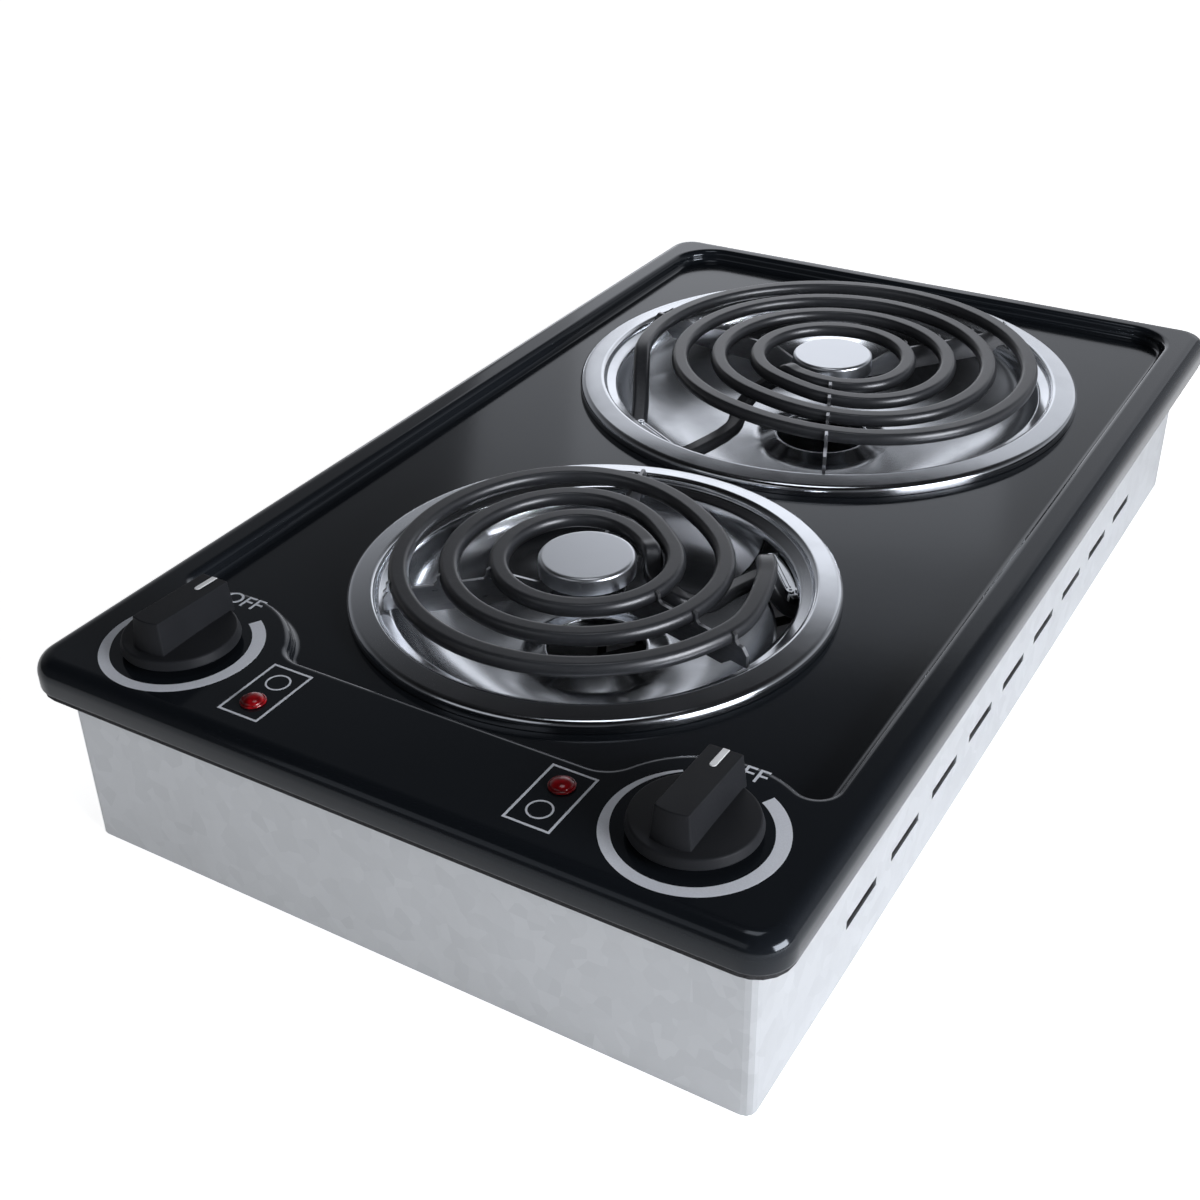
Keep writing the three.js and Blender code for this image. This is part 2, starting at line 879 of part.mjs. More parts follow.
// Radii at which the level winding passes over an arm.
function crossings(path, localAngle) {
  const along = new THREE.Vector2(Math.cos(radians(localAngle)), Math.sin(radians(localAngle)));
  const radii = [];
  for (let i = 1; i < path.length; i += 1) {
    const from = along.cross(path[i - 1]);
    const to = along.cross(path[i]);
    const share = from / (from - to);
    const level = Math.min(path[i - 1].z, path[i].z) > coilHeight - levelSlack;
    if (from * to <= 0 && from !== to && share < 1 && level) {
      const radius = along.dot(path[i - 1].clone().lerp(path[i], share));
      if (radius > 0) {
        radii.push(radius);
      }
    }
  }
  return radii.sort((a, b) => a - b);
}

// One upright arm of the support: foot on the pan ledge, a round cradle under each turn.
function armOutline(size, localAngle) {
  const tip = reachTo(size, wallRadius(size) - armTipGap, localAngle);
  const foot = ledgeHeight + seatGap - coilPlane;
  const cradle = coilTubeRadius + cradleSlack;
  const outline = [
    [hubRadius / 2, -armDepth],
    [tip - footLength - armTipGap, -armDepth],
    [tip - footLength, foot],
    [tip, foot],
    [tip, foot + armNeckDrop],
    [tip - armTipGap, -armTopDrop],
  ];
  const half = Math.acos(armTopDrop / cradle);
  const { path } = coilPath(size);
  for (const radius of crossings(path, localAngle).reverse()) {
    for (let i = 0; i <= cradleSteps; i += 1) {
      const angle = -Math.PI / 2 + half - 2 * half * i / cradleSteps;
      outline.push([radius + cradle * Math.cos(angle), cradle * Math.sin(angle)]);
    }
  }
  const neck = medallionRadius + seatGap;
  outline.push([neck, -armTopDrop - armNeckDrop], [hubRadius / 2, -armTopDrop - armNeckDrop]);
  return outline.map(([x, z]) => [x, z + coilHeight]);
}

function supportSolid(size) {
  const hub = solid(post(hubRadius, hubPlate, 0, 0, coilHeight - armDepth, 24));
  const arms = [60, 180, 300].map((base) => {
    const angle = base + size.armTurn;
    return solid(uprightPlate(armOutline(size, angle), armPlate).rotateZ(radians(angle)));
  });
  return joined(hub, ...arms);
}

function medallionShape() {
  const top = coilHeight + medallionRise;
  const bottom = coilHeight - armDepth + hubPlate + seatGap;
  return revolved([
    [0, bottom],
    [medallionPostRadius, bottom],
    [medallionPostRadius, top - medallionSheet],
    [medallionRadius - medallionEdge, top - medallionSheet],
    [medallionRadius - medallionSheet, top - medallionEdge],
    [medallionRadius - medallionSheet, top - medallionSkirt],
    [medallionRadius, top - medallionSkirt],
    [medallionRadius, top - medallionEdge],
    [medallionRadius - medallionEdge * (1 - Math.SQRT1_2), top - medallionEdge * (1 - Math.SQRT1_2)],
    [medallionRadius - medallionEdge, top],
    [0, top],
  ], 24);
}

function clampSolid(size) {
  const x = wallAlongTerminals(size) - clampInset;
  const hole = coilTubeRadius + seatGap;
  const width = legSpacing + 2 * (hole + clampMargin);
  const clamp = solid(box(clampPlate, width, clampHeight, x, 0, legHeight - hole - clampPlate));
  const holes = [-1, 1].map((side) => solid(
    rodX(hole, clampPlate + 2 * overrun, x - clampPlate / 2 - overrun, side * legSpacing / 2, legHeight, 16),
  ));
  return cutBy(clamp, ...holes);
}

// Receptacles

function blockSolid(size) {
  const start = wallAlongTerminals(size) + blockInset;
  const body = solid(box(
    blockLength,
    blockWidth,
    blockHeight,
    start + blockLength / 2,
    0,
    legHeight - blockHeight / 2,
  ));
  const bore = pinRadius + slidingGap;
  const cuts = [];
  for (const side of [-1, 1]) {
    cuts.push(
      solid(rodX(bore, pinLength + overrun, start - overrun, side * legSpacing / 2, legHeight, 12)),
      solid(rodY(
        pivotPinRadius + slidingGap,
        2 * (pivotPinReach + slidingGap),
        start + pivotInset,
        side * blockWidth / 2,
        legHeight,
        12,
      )),
    );
  }
  return cutBy(body, ...cuts);
}

function receptacleBracket(size) {
  const start = wallAlongTerminals(size) + blockInset;
  const inner = blockWidth / 2 + seatGap;
  const top = wellUnderside - seatGap;
  const web = solid(box(
    blockLength - 2 * slidingGap,
    2 * (inner + earSheet),
    earSheet,
    start + blockLength / 2,
    0,
    top - earSheet,
  ));
  const parts = [];
  for (const side of [-1, 1]) {
    const depth = top - legHeight + 2 * pivotPinRadius;
    parts.push(
      solid(box(
        earWidth,
        earSheet,
        depth,
        start + slidingGap + earWidth / 2,
        side * (inner + earSheet / 2),
        top - depth,
      )),
      solid(rodY(
        pivotPinRadius,
        pivotPinReach + seatGap + earSheet / 2,
        start + pivotInset,
        side * (inner + earSheet / 2 - (pivotPinReach + seatGap + earSheet / 2) / 2),
        legHeight,
        12,
      )),
    );
  }
  return joined(web, ...parts);
}

// Controls

// Knob coordinates: origin on the control strip under the knob's middle.
function knobBarRings() {
  const base = knobLift + knobSkirtWall;
  const low = base - knobWall / 2;
  const front = base + knobBarRise;
  const rear = front - knobBarFall;
  const ring = (half, from, to, zFrom, zTo) => [
    new THREE.Vector3(-half, from, zFrom),
    new THREE.Vector3(half, from, zFrom),
    new THREE.Vector3(half, to, zTo),
    new THREE.Vector3(-half, to, zTo),
  ];
  const top = knobBarWidth / 2;
  const edge = knobWall / 4;
  return [
    ring(knobBarBaseWidth / 2, -knobBarFront, knobBarRear, low, low),
    ring(top, -knobBarFront + knobBarDraft, knobBarRear - edge, front - edge, rear - edge),
    ring(top - edge, -knobBarFront + knobBarDraft + edge, knobBarRear - 2 * edge, front, rear),
  ];
}

function knobSolid() {
  const base = knobLift + knobSkirtWall;
  const round = knobWall / 2;
  const skirt = solid(revolved([
    [0, knobLift],
    [knobSkirtRadius, knobLift],
    [knobSkirtRadius, base - round],
    [knobSkirtRadius - round, base],
    [0, base + knobCrown],
  ], 36));
  const bar = solid(loft(knobBarRings()));
  const hollow = solid(revolved([
    [0, knobLift - overrun],
    [knobSkirtRadius - knobWall, knobLift - overrun],
    [knobSkirtRadius - knobWall, base - knobWall],
    [0, base + knobCrown - knobWall],
  ], 24));
  const bossRadius = shaftRadius + knobWall;
  const bossFoot = switchBushRise + knobPush + seatGap;
  const boss = solid(post(bossRadius, base - bossFoot, 0, 0, bossFoot, 20));
  const bore = solid(shaftGeometry(shaftRadius + slidingGap, knobLift - overrun, knobBore()));
  const slot = solid(box(
    pointerWidth + 2 * slidingGap,
    pointerLength + 2 * slidingGap + overrun,
    pointerDepth + overrun,
    0,
    pointerMiddle() + overrun / 2,
    pointerFloor() - slidingGap,
  ));
  return cutBy(joined(cutBy(joined(skirt, bar), hollow), boss), bore, slot);
}

function knobBore() {
  return knobLift + knobSkirtWall + knobBarRise / 2;
}

function pointerMiddle() {
  return knobBarRear - knobWall / 2 - pointerLength / 2;
}

function pointerFloor() {
  return knobLift + knobSkirtWall + knobBarRise - knobBarFall - pointerDepth;
}

// A round shaft with one flat on its rear side.
function shaftGeometry(radius, from, to) {
  const half = Math.acos((radius - shaftFlat) / radius);
  const outline = arcPoints(0, 0, radius, Math.PI / 2 + half, Math.PI * 2.5 - half, 16);
  return loft([
    outline.map((point) => new THREE.Vector3(point.x, point.y, from)),
    outline.map((point) => new THREE.Vector3(point.x, point.y, to)),
  ]);
}

function switchSolid() {
  const top = -panelSheet - seatGap;
  const body = solid(box(switchWidth, switchDepth, switchHeight, 0, 0, top - switchHeight));
  const bush = solid(post(switchBushRadius, switchBushRise - top, 0, 0, top, 20));
  const reach = top - switchHeight + overrun;
  const chamber = top - switchRoof - sleeveLength - knobPush - 2 * seatGap;
  const bore = solid(post(
    shaftRadius + sleeveWall + slidingGap,
    sleeveLength + knobPush + 2 * seatGap,
    0,
    0,
    chamber,
    20,
  ));
  const mouth = solid(post(
    shaftRadius + slidingGap,
    switchBushRise - top + switchRoof + 2 * overrun,
    0,
    0,
    top - switchRoof - overrun,
    20,
  ));
  const tabs = [];
  for (const [x, y] of switchTabPlaces()) {
    tabs.push(solid(box(
      switchTabWidth,
      switchTabSheet,
      switchTabLength + overrun,
      x,
      y,
      reach - switchTabLength - overrun,
    )));
  }
  const screws = [-1, 1].map((side) => solid(post(
    screwRadius + slidingGap,
    switchHeight / 2 + overrun,
    side * switchScrewPitch / 2,
    0,
    top - switchHeight / 2,
    10,
  )));
  return cutBy(joined(body, bush, ...tabs), bore, mouth, ...screws);
}

function switchTabPlaces() {
  const across = switchWidth / 2 - switchTabWidth;
  const along = switchDepth / 2 - switchTabWidth;
  return [[-across, -along], [across, -along], [-across, along], [across, along]];
}

function screwSolid() {
  const head = solid(post(screwHeadRadius, screwHeadHeight, 0, 0, seatGap, 12));
  const shankFoot = seatGap - switchHeight / 2 + screwHeadHeight;
  const shank = solid(post(screwRadius, switchHeight / 2, 0, 0, shankFoot, 8));
  return joined(head, shank);
}

const knobSides = [
  { side: 'left', x: -knobX },
  { side: 'right', x: knobX },
];

for (const { side, x } of knobSides) {
  const control = new THREE.Group();
  control.position.set(x, knobY, rimHeight);
  cooktop.add(control);
  piece(`knob_${side}`, knobSolid(), 'plastic', control);
  piece(`knob_pointer_${side}`, box(
    pointerWidth,
    pointerLength,
    pointerDepth,
    0,
    pointerMiddle(),
    pointerFloor(),
  ), 'white', control);
  const shaftFoot = -panelSheet - 2 * seatGap - switchRoof - sleeveLength;
  const shaft = shaftGeometry(shaftRadius, shaftFoot, knobBore() - seatGap);
  piece(`control_shaft_${side}`, shaft, 'steel', control);
  piece(`plunger_sleeve_${side}`, cutBy(
    solid(post(shaftRadius + sleeveWall, sleeveLength, 0, 0, shaftFoot, 20)),
    solid(post(shaftRadius + slidingGap, sleeveLength + 2 * overrun, 0, 0, shaftFoot - overrun, 20)),
  ), 'brass', control);
  piece(`heat_switch_${side}`, switchSolid(), 'phenolic', control);
  for (const [hand, sign] of [['a', -1], ['b', 1]]) {
    const screw = piece(`switch_screw_${side}_${hand}`, screwSolid(), 'steel', control);
    screw.position.x = sign * switchScrewPitch / 2;
  }
}

// Pilot lamps

function lensSolid() {
  return revolved([
    [0, seatGap],
    [lampRimRadius, seatGap],
    [lampRimRadius, seatGap + lampRimHeight],
    [lampLensRadius, seatGap + lampRimHeight],
    ...lensCrownShares.map(([out, up]) => [lampLensRadius * out, lampRimHeight + lampLensRise * up]),
    [0, lampRimHeight + lampLensRise],
  ], 20);
}

for (const { side, x, y } of lampPlaces()) {
  const lamp = new THREE.Group();
  lamp.position.set(x, y, rimHeight);
  cooktop.add(lamp);
  piece(`pilot_lens_${side}`, lensSolid(), 'red', lamp);
  const body = post(lampBodyRadius, lampBodyLength, 0, 0, -lampBodyLength, 16);
  piece(`pilot_lamp_${side}`, body, 'phenolic', lamp);
  const nutFoot = -panelSheet - seatGap - lampNutHeight;
  piece(`pilot_nut_${side}`, cutBy(
    solid(post(lampNutRadius, lampNutHeight, 0, 0, nutFoot, 6)),
    solid(post(
      lampBodyRadius + slidingGap,
      lampNutHeight + 2 * overrun,
      0,
      0,
      nutFoot - overrun,
      16,
    )),
  ), 'steel', lamp);
}

// Panel and burners

piece('cooktop_panel', panelSolid(), 'enamel');

for (const [name, size] of Object.entries(burnerSizes)) {
  piece(`drip_pan_${name}`, panSolid(size), 'chrome');

  const element = new THREE.Group();
  element.position.set(size.elementX, size.elementY, 0);
  element.rotation.z = radians(size.terminalTurn);
  cooktop.add(element);

  const { path, spiralStart } = coilPath(size);
  console.log(`coil_${name}: least gap between turns ${leastGap(path, coilTubeRadius).toFixed(2)} mm`);
  const rings = tubeRings(path, spiralStart, coilTubeRadius, coilSides, coilTopFlat);
  piece(`coil_${name}`, loft(rings), 'sheath', element);
  piece(`coil_support_${name}`, supportSolid(size), 'steel', element);
  piece(`medallion_${name}`, medallionShape(), 'chrome', element);
  piece(`terminal_clamp_${name}`, clampSolid(size), 'steel', element);
  const pinStart = wallAlongTerminals(size) + blockInset - 3 * seatGap;
  for (const [hand, sign] of [['a', -1], ['b', 1]]) {
    piece(
      `terminal_pin_${name}_${hand}`,
      rodX(pinRadius, pinLength - overrun, pinStart, sign * legSpacing / 2, legHeight, 12),
      'brass',
      element,
    );
  }
  piece(`receptacle_${name}`, blockSolid(size), 'ceramic', element);
  piece(`receptacle_bracket_${name}`, receptacleBracket(size), 'galvanised', element);
}

// Burner box

function boxSolid() {
  const top = rimHeight - wellRoll - seatGap;
  const outerLine = roundedOutline(boxWidth, boxDepth, boxCornerRadius, 0, 0, 3);
  const innerLine = roundedOutline(
    boxWidth - 2 * boxSheet,
    boxDepth - 2 * boxSheet,
    boxCornerRadius - boxSheet,
    0,
    0,
    3,
  );
  let tray = solid(loft([raised(outerLine, 0), raised(outerLine, top)], true));
  tray = tray.subtract(solid(loft([raised(innerLine, boxSheet), raised(innerLine, top + overrun)], true)));
  const tabTop = wellUnderside - seatGap;
  for (const [x, y] of studPlaces) {
    const side = Math.sign(x);
    const reach = boxTabReach + boxSheet / 2;
    const middle = side * (boxWidth / 2 - reach / 2 - boxSheet / 2);
    const tab = box(reach, boxTabWidth, boxSheet, middle, y, tabTop - boxSheet);
    const hole = post(
      studRadius + slidingGap,
      boxSheet + 2 * overrun,
      x,
      y,
      tabTop - boxSheet - overrun,
      10,
    );
    tray = cutBy(tray.add(solid(tab)), solid(hole));
  }
  const firstVent = -(ventCount - 1) / 2 * ventPitch;
  for (let i = 0; i < ventCount; i += 1) {
    tray = tray.subtract(solid(box(
      boxWidth + 2 * overrun,
      ventLength,
      ventHeight,
      0,
      firstVent + i * ventPitch,
      ventLevel,
    )));
  }
  const inlet = post(inletRadius + slidingGap, boxSheet + 2 * overrun, inletX, inletY, -overrun, 24);
  return tray.subtract(solid(inlet));
}

piece('burner_box', boxSolid(), 'galvanised');

for (const [i, [x, y]] of studPlaces.entries()) {
  const nutTop = wellUnderside - 2 * seatGap - boxSheet;
  piece(`box_nut_${i + 1}`, cutBy(
    solid(post(nutRadius, nutHeight, x, y, nutTop - nutHeight, 6)),
    solid(post(studRadius + slidingGap, nutHeight + 2 * overrun, x, y, nutTop - nutHeight - overrun, 10)),
  ), 'steel');
}

const gasketOuter = roundedOutline(
  panelWidth - 2 * panelSheet,
  panelDepth - 2 * panelSheet,
  panelCornerRadius - panelSheet,
);
const gasketInner = roundedOutline(
  panelWidth - 2 * (panelSheet + gasketWidth),
  panelDepth - 2 * (panelSheet + gasketWidth),
  panelCornerRadius - gasketWidth,
);
piece('flange_gasket', cutBy(
  solid(loft([
    raised(gasketOuter, worktopHeight - gasketSheet - seatGap),
    raised(gasketOuter, worktopHeight - seatGap),
  ], true)),
  solid(loft([
    raised(gasketInner, worktopHeight - gasketSheet - overrun),
    raised(gasketInner, worktopHeight + overrun),
  ], true)),
), 'foam');

// Supply inlet

piece('inlet_bushing', revolved([
  [inletBoreRadius, seatGap],
  [inletRadius, seatGap],
  [inletRadius, boxSheet + seatGap],
  [inletRadius + inletCollarWidth, boxSheet + seatGap],
  [inletRadius + inletCollarWidth, boxSheet + seatGap + inletCollarRise / 2],
  [inletRadius, boxSheet + inletCollarRise],
  [inletBoreRadius, boxSheet + inletCollarRise],
  [inletBoreRadius, seatGap],
], 20).translate(inletX, inletY, 0), 'steel');

piece('supply_terminal_block', box(
  stripWidth,
  stripDepth,
  stripHeight,
  stripX,
  stripY,
  boxSheet + seatGap,
), 'ceramic');

// Leads

// A round lead through the places given, straight where it meets its ends.
function lead(name, places, look) {
  const curve = new THREE.CatmullRomCurve3(places, false, 'centripetal');
  const section = new THREE.Shape();
  section.absarc(0, 0, leadRadius, 0, 2 * Math.PI);
  const outline = section.getSpacedPoints(leadSides).slice(0, leadSides);
  const tube = new THREE.ExtrudeGeometry(new THREE.Shape(outline), {
    steps: leadSteps,
    extrudePath: curve,
  });
  piece(name, tube, look);
}

// Under a receptacle, on the axis of one of its bores.
function receptacleFoot(size, side) {
  const x = wallAlongTerminals(size) + blockInset + pivotInset / 2;
  return new THREE.Vector3(x, side * legSpacing / 2, legHeight - blockHeight / 2 - seatGap)
    .applyAxisAngle(new THREE.Vector3(0, 0, 1), radians(size.terminalTurn))
    .add(new THREE.Vector3(size.elementX, size.elementY, 0));
}

// Under one of a switch's four tabs.
function tabFoot(sideX, tabX, tabY) {
  const [across, along] = switchTabPlaces()[3];
  const foot = rimHeight - panelSheet - 2 * seatGap - switchHeight - switchTabLength;
  return new THREE.Vector3(sideX * knobX + tabX * across, knobY + tabY * along, foot);
}

function below(place, drop) {
  return place.clone().setZ(place.z - drop);
}

function burnerLead(name, size, start, side, levelShare, middle) {
  const end = receptacleFoot(size, side);
  const level = bowlFoot * levelShare;
  lead(name, [
    start,
    below(start, leadBend),
    start.clone().lerp(middle, startShare).setZ(level + leadBend / 2),
    middle.clone().setZ(level),
    end.clone().lerp(middle, endShare).setZ(level + leadBend),
    below(end, 2 * leadBend),
    end,
  ], 'sleeving');
}

burnerLead('lead_front_a', burnerSizes.front, tabFoot(-1, 1, 1), -1, leadLevelShares.frontA, new THREE.Vector3(
  burnerSizes.front.panX,
  burnerSizes.front.panY - burnerSizes.front.drainRadius,
  0,
));
burnerLead('lead_front_b', burnerSizes.front, tabFoot(-1, 1, -1), 1, leadLevelShares.frontB, new THREE.Vector3(
  burnerSizes.front.panX,
  burnerSizes.front.panY + burnerSizes.front.drainRadius,
  0,
));
burnerLead('lead_rear_a', burnerSizes.rear, tabFoot(1, -1, 1), 1, leadLevelShares.rearA, new THREE.Vector3(
  burnerSizes.front.panX + burnerSizes.front.drainRadius,
  burnerSizes.front.panY,
  0,
));
burnerLead('lead_rear_b', burnerSizes.rear, tabFoot(1, -1, -1), -1, leadLevelShares.rearB, new THREE.Vector3(
  burnerSizes.front.panX,
  burnerSizes.front.panY,
  0,
));

for (const [name, sign] of [['left', -1], ['right', 1]]) {
  const level = bowlFoot * leadLevelShares.supply;
  const end = tabFoot(sign, sign, 1);
  const start = new THREE.Vector3(
    stripX + sign * stripWidth / 4,
    stripY - stripDepth / 2 - seatGap,
    boxSheet + seatGap + stripHeight / 2,
  );
  lead(`lead_supply_${name}`, [
    start,
    start.clone().setY(start.y - leadBend),
    new THREE.Vector3(sign * (knobX + leadBend), (start.y + knobY) / 2, level),
    new THREE.Vector3(end.x, end.y + 4 * leadBend, level + leadBend),
    below(end, 2 * leadBend),
    end,
  ], 'sleeving');
}

export default cooktop;
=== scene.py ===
"""Looks for a drop-in electric coil cooktop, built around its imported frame."""

import math

import bmesh
import bpy
from mathutils import Matrix, Vector
from mathutils.geometry import tessellate_polygon


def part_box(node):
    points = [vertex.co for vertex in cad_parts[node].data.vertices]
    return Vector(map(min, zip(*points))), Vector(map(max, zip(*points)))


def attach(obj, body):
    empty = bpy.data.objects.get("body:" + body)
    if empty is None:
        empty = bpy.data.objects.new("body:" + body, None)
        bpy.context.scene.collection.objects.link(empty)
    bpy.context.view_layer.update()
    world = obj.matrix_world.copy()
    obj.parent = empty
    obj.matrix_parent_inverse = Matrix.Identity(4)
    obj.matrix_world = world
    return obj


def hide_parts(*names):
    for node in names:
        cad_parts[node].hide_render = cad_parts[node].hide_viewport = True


bl_info = {
    "name": "Coil cooktop",
    "version": (1, 0, 0),
    "blender": (4, 5, 0),
    "location": "3D View > Sidebar > Cooktop",
    "description": "Builds the enamelled panel, drip pans, coil elements and controls of a cooktop",
    "category": "Object",
}

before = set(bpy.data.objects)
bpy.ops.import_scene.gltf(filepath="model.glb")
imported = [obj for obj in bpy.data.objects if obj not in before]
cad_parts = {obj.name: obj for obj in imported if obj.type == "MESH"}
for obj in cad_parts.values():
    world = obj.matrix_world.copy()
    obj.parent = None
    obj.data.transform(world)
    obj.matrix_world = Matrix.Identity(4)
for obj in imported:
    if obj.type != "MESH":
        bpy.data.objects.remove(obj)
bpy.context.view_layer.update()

MM = 0.001
SIDES = {"left": -1, "right": 1}


def node_box(name):
    """Lowest and highest corner of a node of the frame, in millimetres."""
    low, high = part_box(name)
    return Vector(low) / MM, Vector(high) / MM


PANEL_LOW, PANEL_HIGH = node_box("cooktop_panel")
PANEL_WIDTH = PANEL_HIGH.x - PANEL_LOW.x
PANEL_DEPTH = PANEL_HIGH.y - PANEL_LOW.y
RIM_HEIGHT = PANEL_HIGH.z

# Sheet panel, millimetres
WORKTOP_HEIGHT = RIM_HEIGHT - 13
PANEL_CORNER = 14
FLANGE_ROLL = 7
HEM_WIDTH = 7.5
HEM_ROUND = 1.2
WELL_RECESS = 6.5
WELL_HALF_WIDTH = 136
WELL_FRONT = -205
WELL_REAR = 241
WELL_CORNER = 20
WELL_ROLL = 3.1
WELL_FOOT_ROUND = 2.7
ISLAND_RADIUS = 39.5
ISLAND_FRONT_FILLET = 12
ISLAND_SIDE_FILLET = 7
WELL_HEIGHT = RIM_HEIGHT - WELL_RECESS
EASE = 0.5
ARC_STEPS = 14
CORNERS = ((-1, -1), (1, -1), (1, 1), (-1, 1))
MERGE_DISTANCE = 0.002
SHARP_ANGLE = 30
SOFT_ANGLE = 40
BEVEL_ANGLE = 50

# Controls, millimetres
KNOB_X = 106
KNOB_Y = -217.5
SHAFT_HOLE = 5.25
SKIRT_RADIUS = 22
SKIRT_WALL = 3.6
SKIRT_ROUND = 0.7
SKIRT_DRAFT = 1.1
KNOB_LIFT = 2.6
KNOB_WALL = 2
KNOB_CROWN = 0.5
BAR_WIDTH = 12
BAR_BASE_WIDTH = 14.6
BAR_FRONT = 17.6
BAR_REAR = 21.6
BAR_RISE = 12.8
BAR_FALL = 1.6
BAR_DRAFT = 1.4
POINTER_WIDTH = 2.5
POINTER_LENGTH = 10.5
POINTER_DEPTH = 1.6
POINTER_GAP = 0.12
POINTER_RISE = 0.35
POINTER_STEPS = 12
POINTER_BEVEL = 0.25
KNOB_STEPS = 128
BAR_END_STEPS = 10
BAR_BEVEL = 0.4

# Pilot lamps, millimetres
LAMP_X = 59
LAMP_Y = -226
LAMP_PITCH = 13.2
LENS_RADIUS = 4
LENS_RIM_RADIUS = 4.7
LENS_RIM_HEIGHT = 0.7
LENS_RIM_ROUND = 0.4
LENS_SINK = 0.1
LENS_GROOVE = 0.15
LENS_RISE = 1.9
LENS_STEPS = 64
LAMP_HOLE = 3.65
LAMP_HOLE_STEPS = 32

# Drip pans, millimetres above the recess floor
PAN_SHEET = 0.8
LIP_HEIGHT = 6
LIP_ROUND = 2.6
FACE_FALL = 1.2
LEDGE_HEIGHT = 2.6
LEDGE_WIDTH = 5
LEDGE_FALL = 1.2
THROAT = 1.6
BOWL_DEPTH = 31
COLLAR_RISE = 3.4
COLLAR_WIDTH = 8
COLLAR_FOOT = 2
COLLAR_LIP = 1.2
COLLAR_ROUND = 3.0
PAN_GAP = 3
SEAT_GAP = 0.3
PAN_STEPS = 160
BOWL_STEPS = 25

# Heating elements, millimetres
COIL_RISE = 12
COIL_PLANE = WELL_HEIGHT + COIL_RISE
LEG_SPACING = 28
LEG_DROP = 23
LEG_INSET = 9
BLOCK_INSET = 3.6
BLOCK_WIDTH = 48
SLOT_GAP = 2.5
SLOT_TOP = 1.5
SLOT_DEPTH = 16
SLOT_REACH = 24
SLOT_PAST_WALL = 2
CROSSOVER_START = 110
STEPS_PER_TURN = 24
PARTS_PER_STEP = 5
DIVE_SHARES = (
    (1, -0.28, -0.32),
    (1.33, -0.51, -0.61),
    (1.76, -0.39, -0.85),
    (2.27, 0.08, -0.957),
)
ARM_PLATE = 1.4
ARM_TOP_DROP = 1.2
ARM_DEPTH = 12.6
ARM_TIP_GAP = 2.2
FOOT_LENGTH = 7.5
ARM_TURNS = (60, 180, 300)
ARM_CRADLE_WIDTH = 8.3
ARM_CRADLE_DROP = 2.9
CRADLE_STEPS = 12
TOOTH_WIDTH = 1.1
TOOTH_SPREAD = 1.2
TOOTH_HOOK = 0.5
TOOTH_RISE = 3.3
ARM_NECK_DROP = 5
SUPPORT_BEVEL = 0.25
SHIELD_BACK = 3.4
SHIELD_DEPTH = 8
SHIELD_SHEET = 0.8
SHIELD_WIDTH = 32
SHIELD_DROP = 2.4
SHIELD_FOLD = 3.4
SHIELD_CORNER = 0.4
SHIELD_BEVEL = 0.2
SHIELD_TRIM_SINK = 0.2
SHIELD_RIBS = (1.1, 2.5)
RIB_WIDTH = 0.5
RIB_RISE = 0.6
RIB_SHORTER = 7
RIB_SHIFT = 1.5
SHIELD_TAB = (2.2, 0.8, 2.0)
TAB_FROM_BACK = 3
TAB_FROM_END = 1
SHIELD_EYES = (1.7, 5.1)
EYE_HOLE = 0.7
EYE_RADIUS = 1.5
EYE_RISE = 0.9
EYE_FROM_END = 2
EYE_STEPS = 24
HUB_RADIUS = 15
HUB_PLATE = 2
HUB_ROUND = 0.3
HUB_STEPS = 64
MEDALLION_RADIUS = 19.1
MEDALLION_RISE = 3.1
MEDALLION_SKIRT = 7.2
MEDALLION_SHEET = 0.9
MEDALLION_EDGE = 1.5
MEDALLION_POST = 3.4
MEDALLION_STEPS = 96

BURNER_SIZES = {
    "front": {
        "pan": (0, -100.5),
        "lip": 96.5,
        "face": 9,
        "bowl_floor": 33,
        "drain": 20,
        "element": (-2, -102.5),
        "terminal_turn": 40,
        "arm_turn": 4,
        "turn_radii": (73, 53.7, 34.4, 25.6),
        "coil_start": 48,
        "tail_shares": (
            (1.03, -0.18, -0.87),
            (0.966, -0.144, -0.52),
            (0.942, -0.128, -0.2),
            (0.932, -0.185, -0.03),
            (0.885, -0.357, 0),
        ),
    },
    "rear": {
        "pan": (0, 118.5),
        "lip": 119.5,
        "face": 10,
        "bowl_floor": 38,
        "drain": 22,
        "element": (3, 119.5),
        "terminal_turn": -120,
        "arm_turn": -8,
        "turn_radii": (93, 74, 55, 36, 26),
        "coil_start": 40,
        "tail_shares": (
            (1.054, -0.204, -0.87),
            (0.978, -0.312, -0.565),
            (0.892, -0.452, -0.239),
            (0.817, -0.57, -0.052),
        ),
    },
}


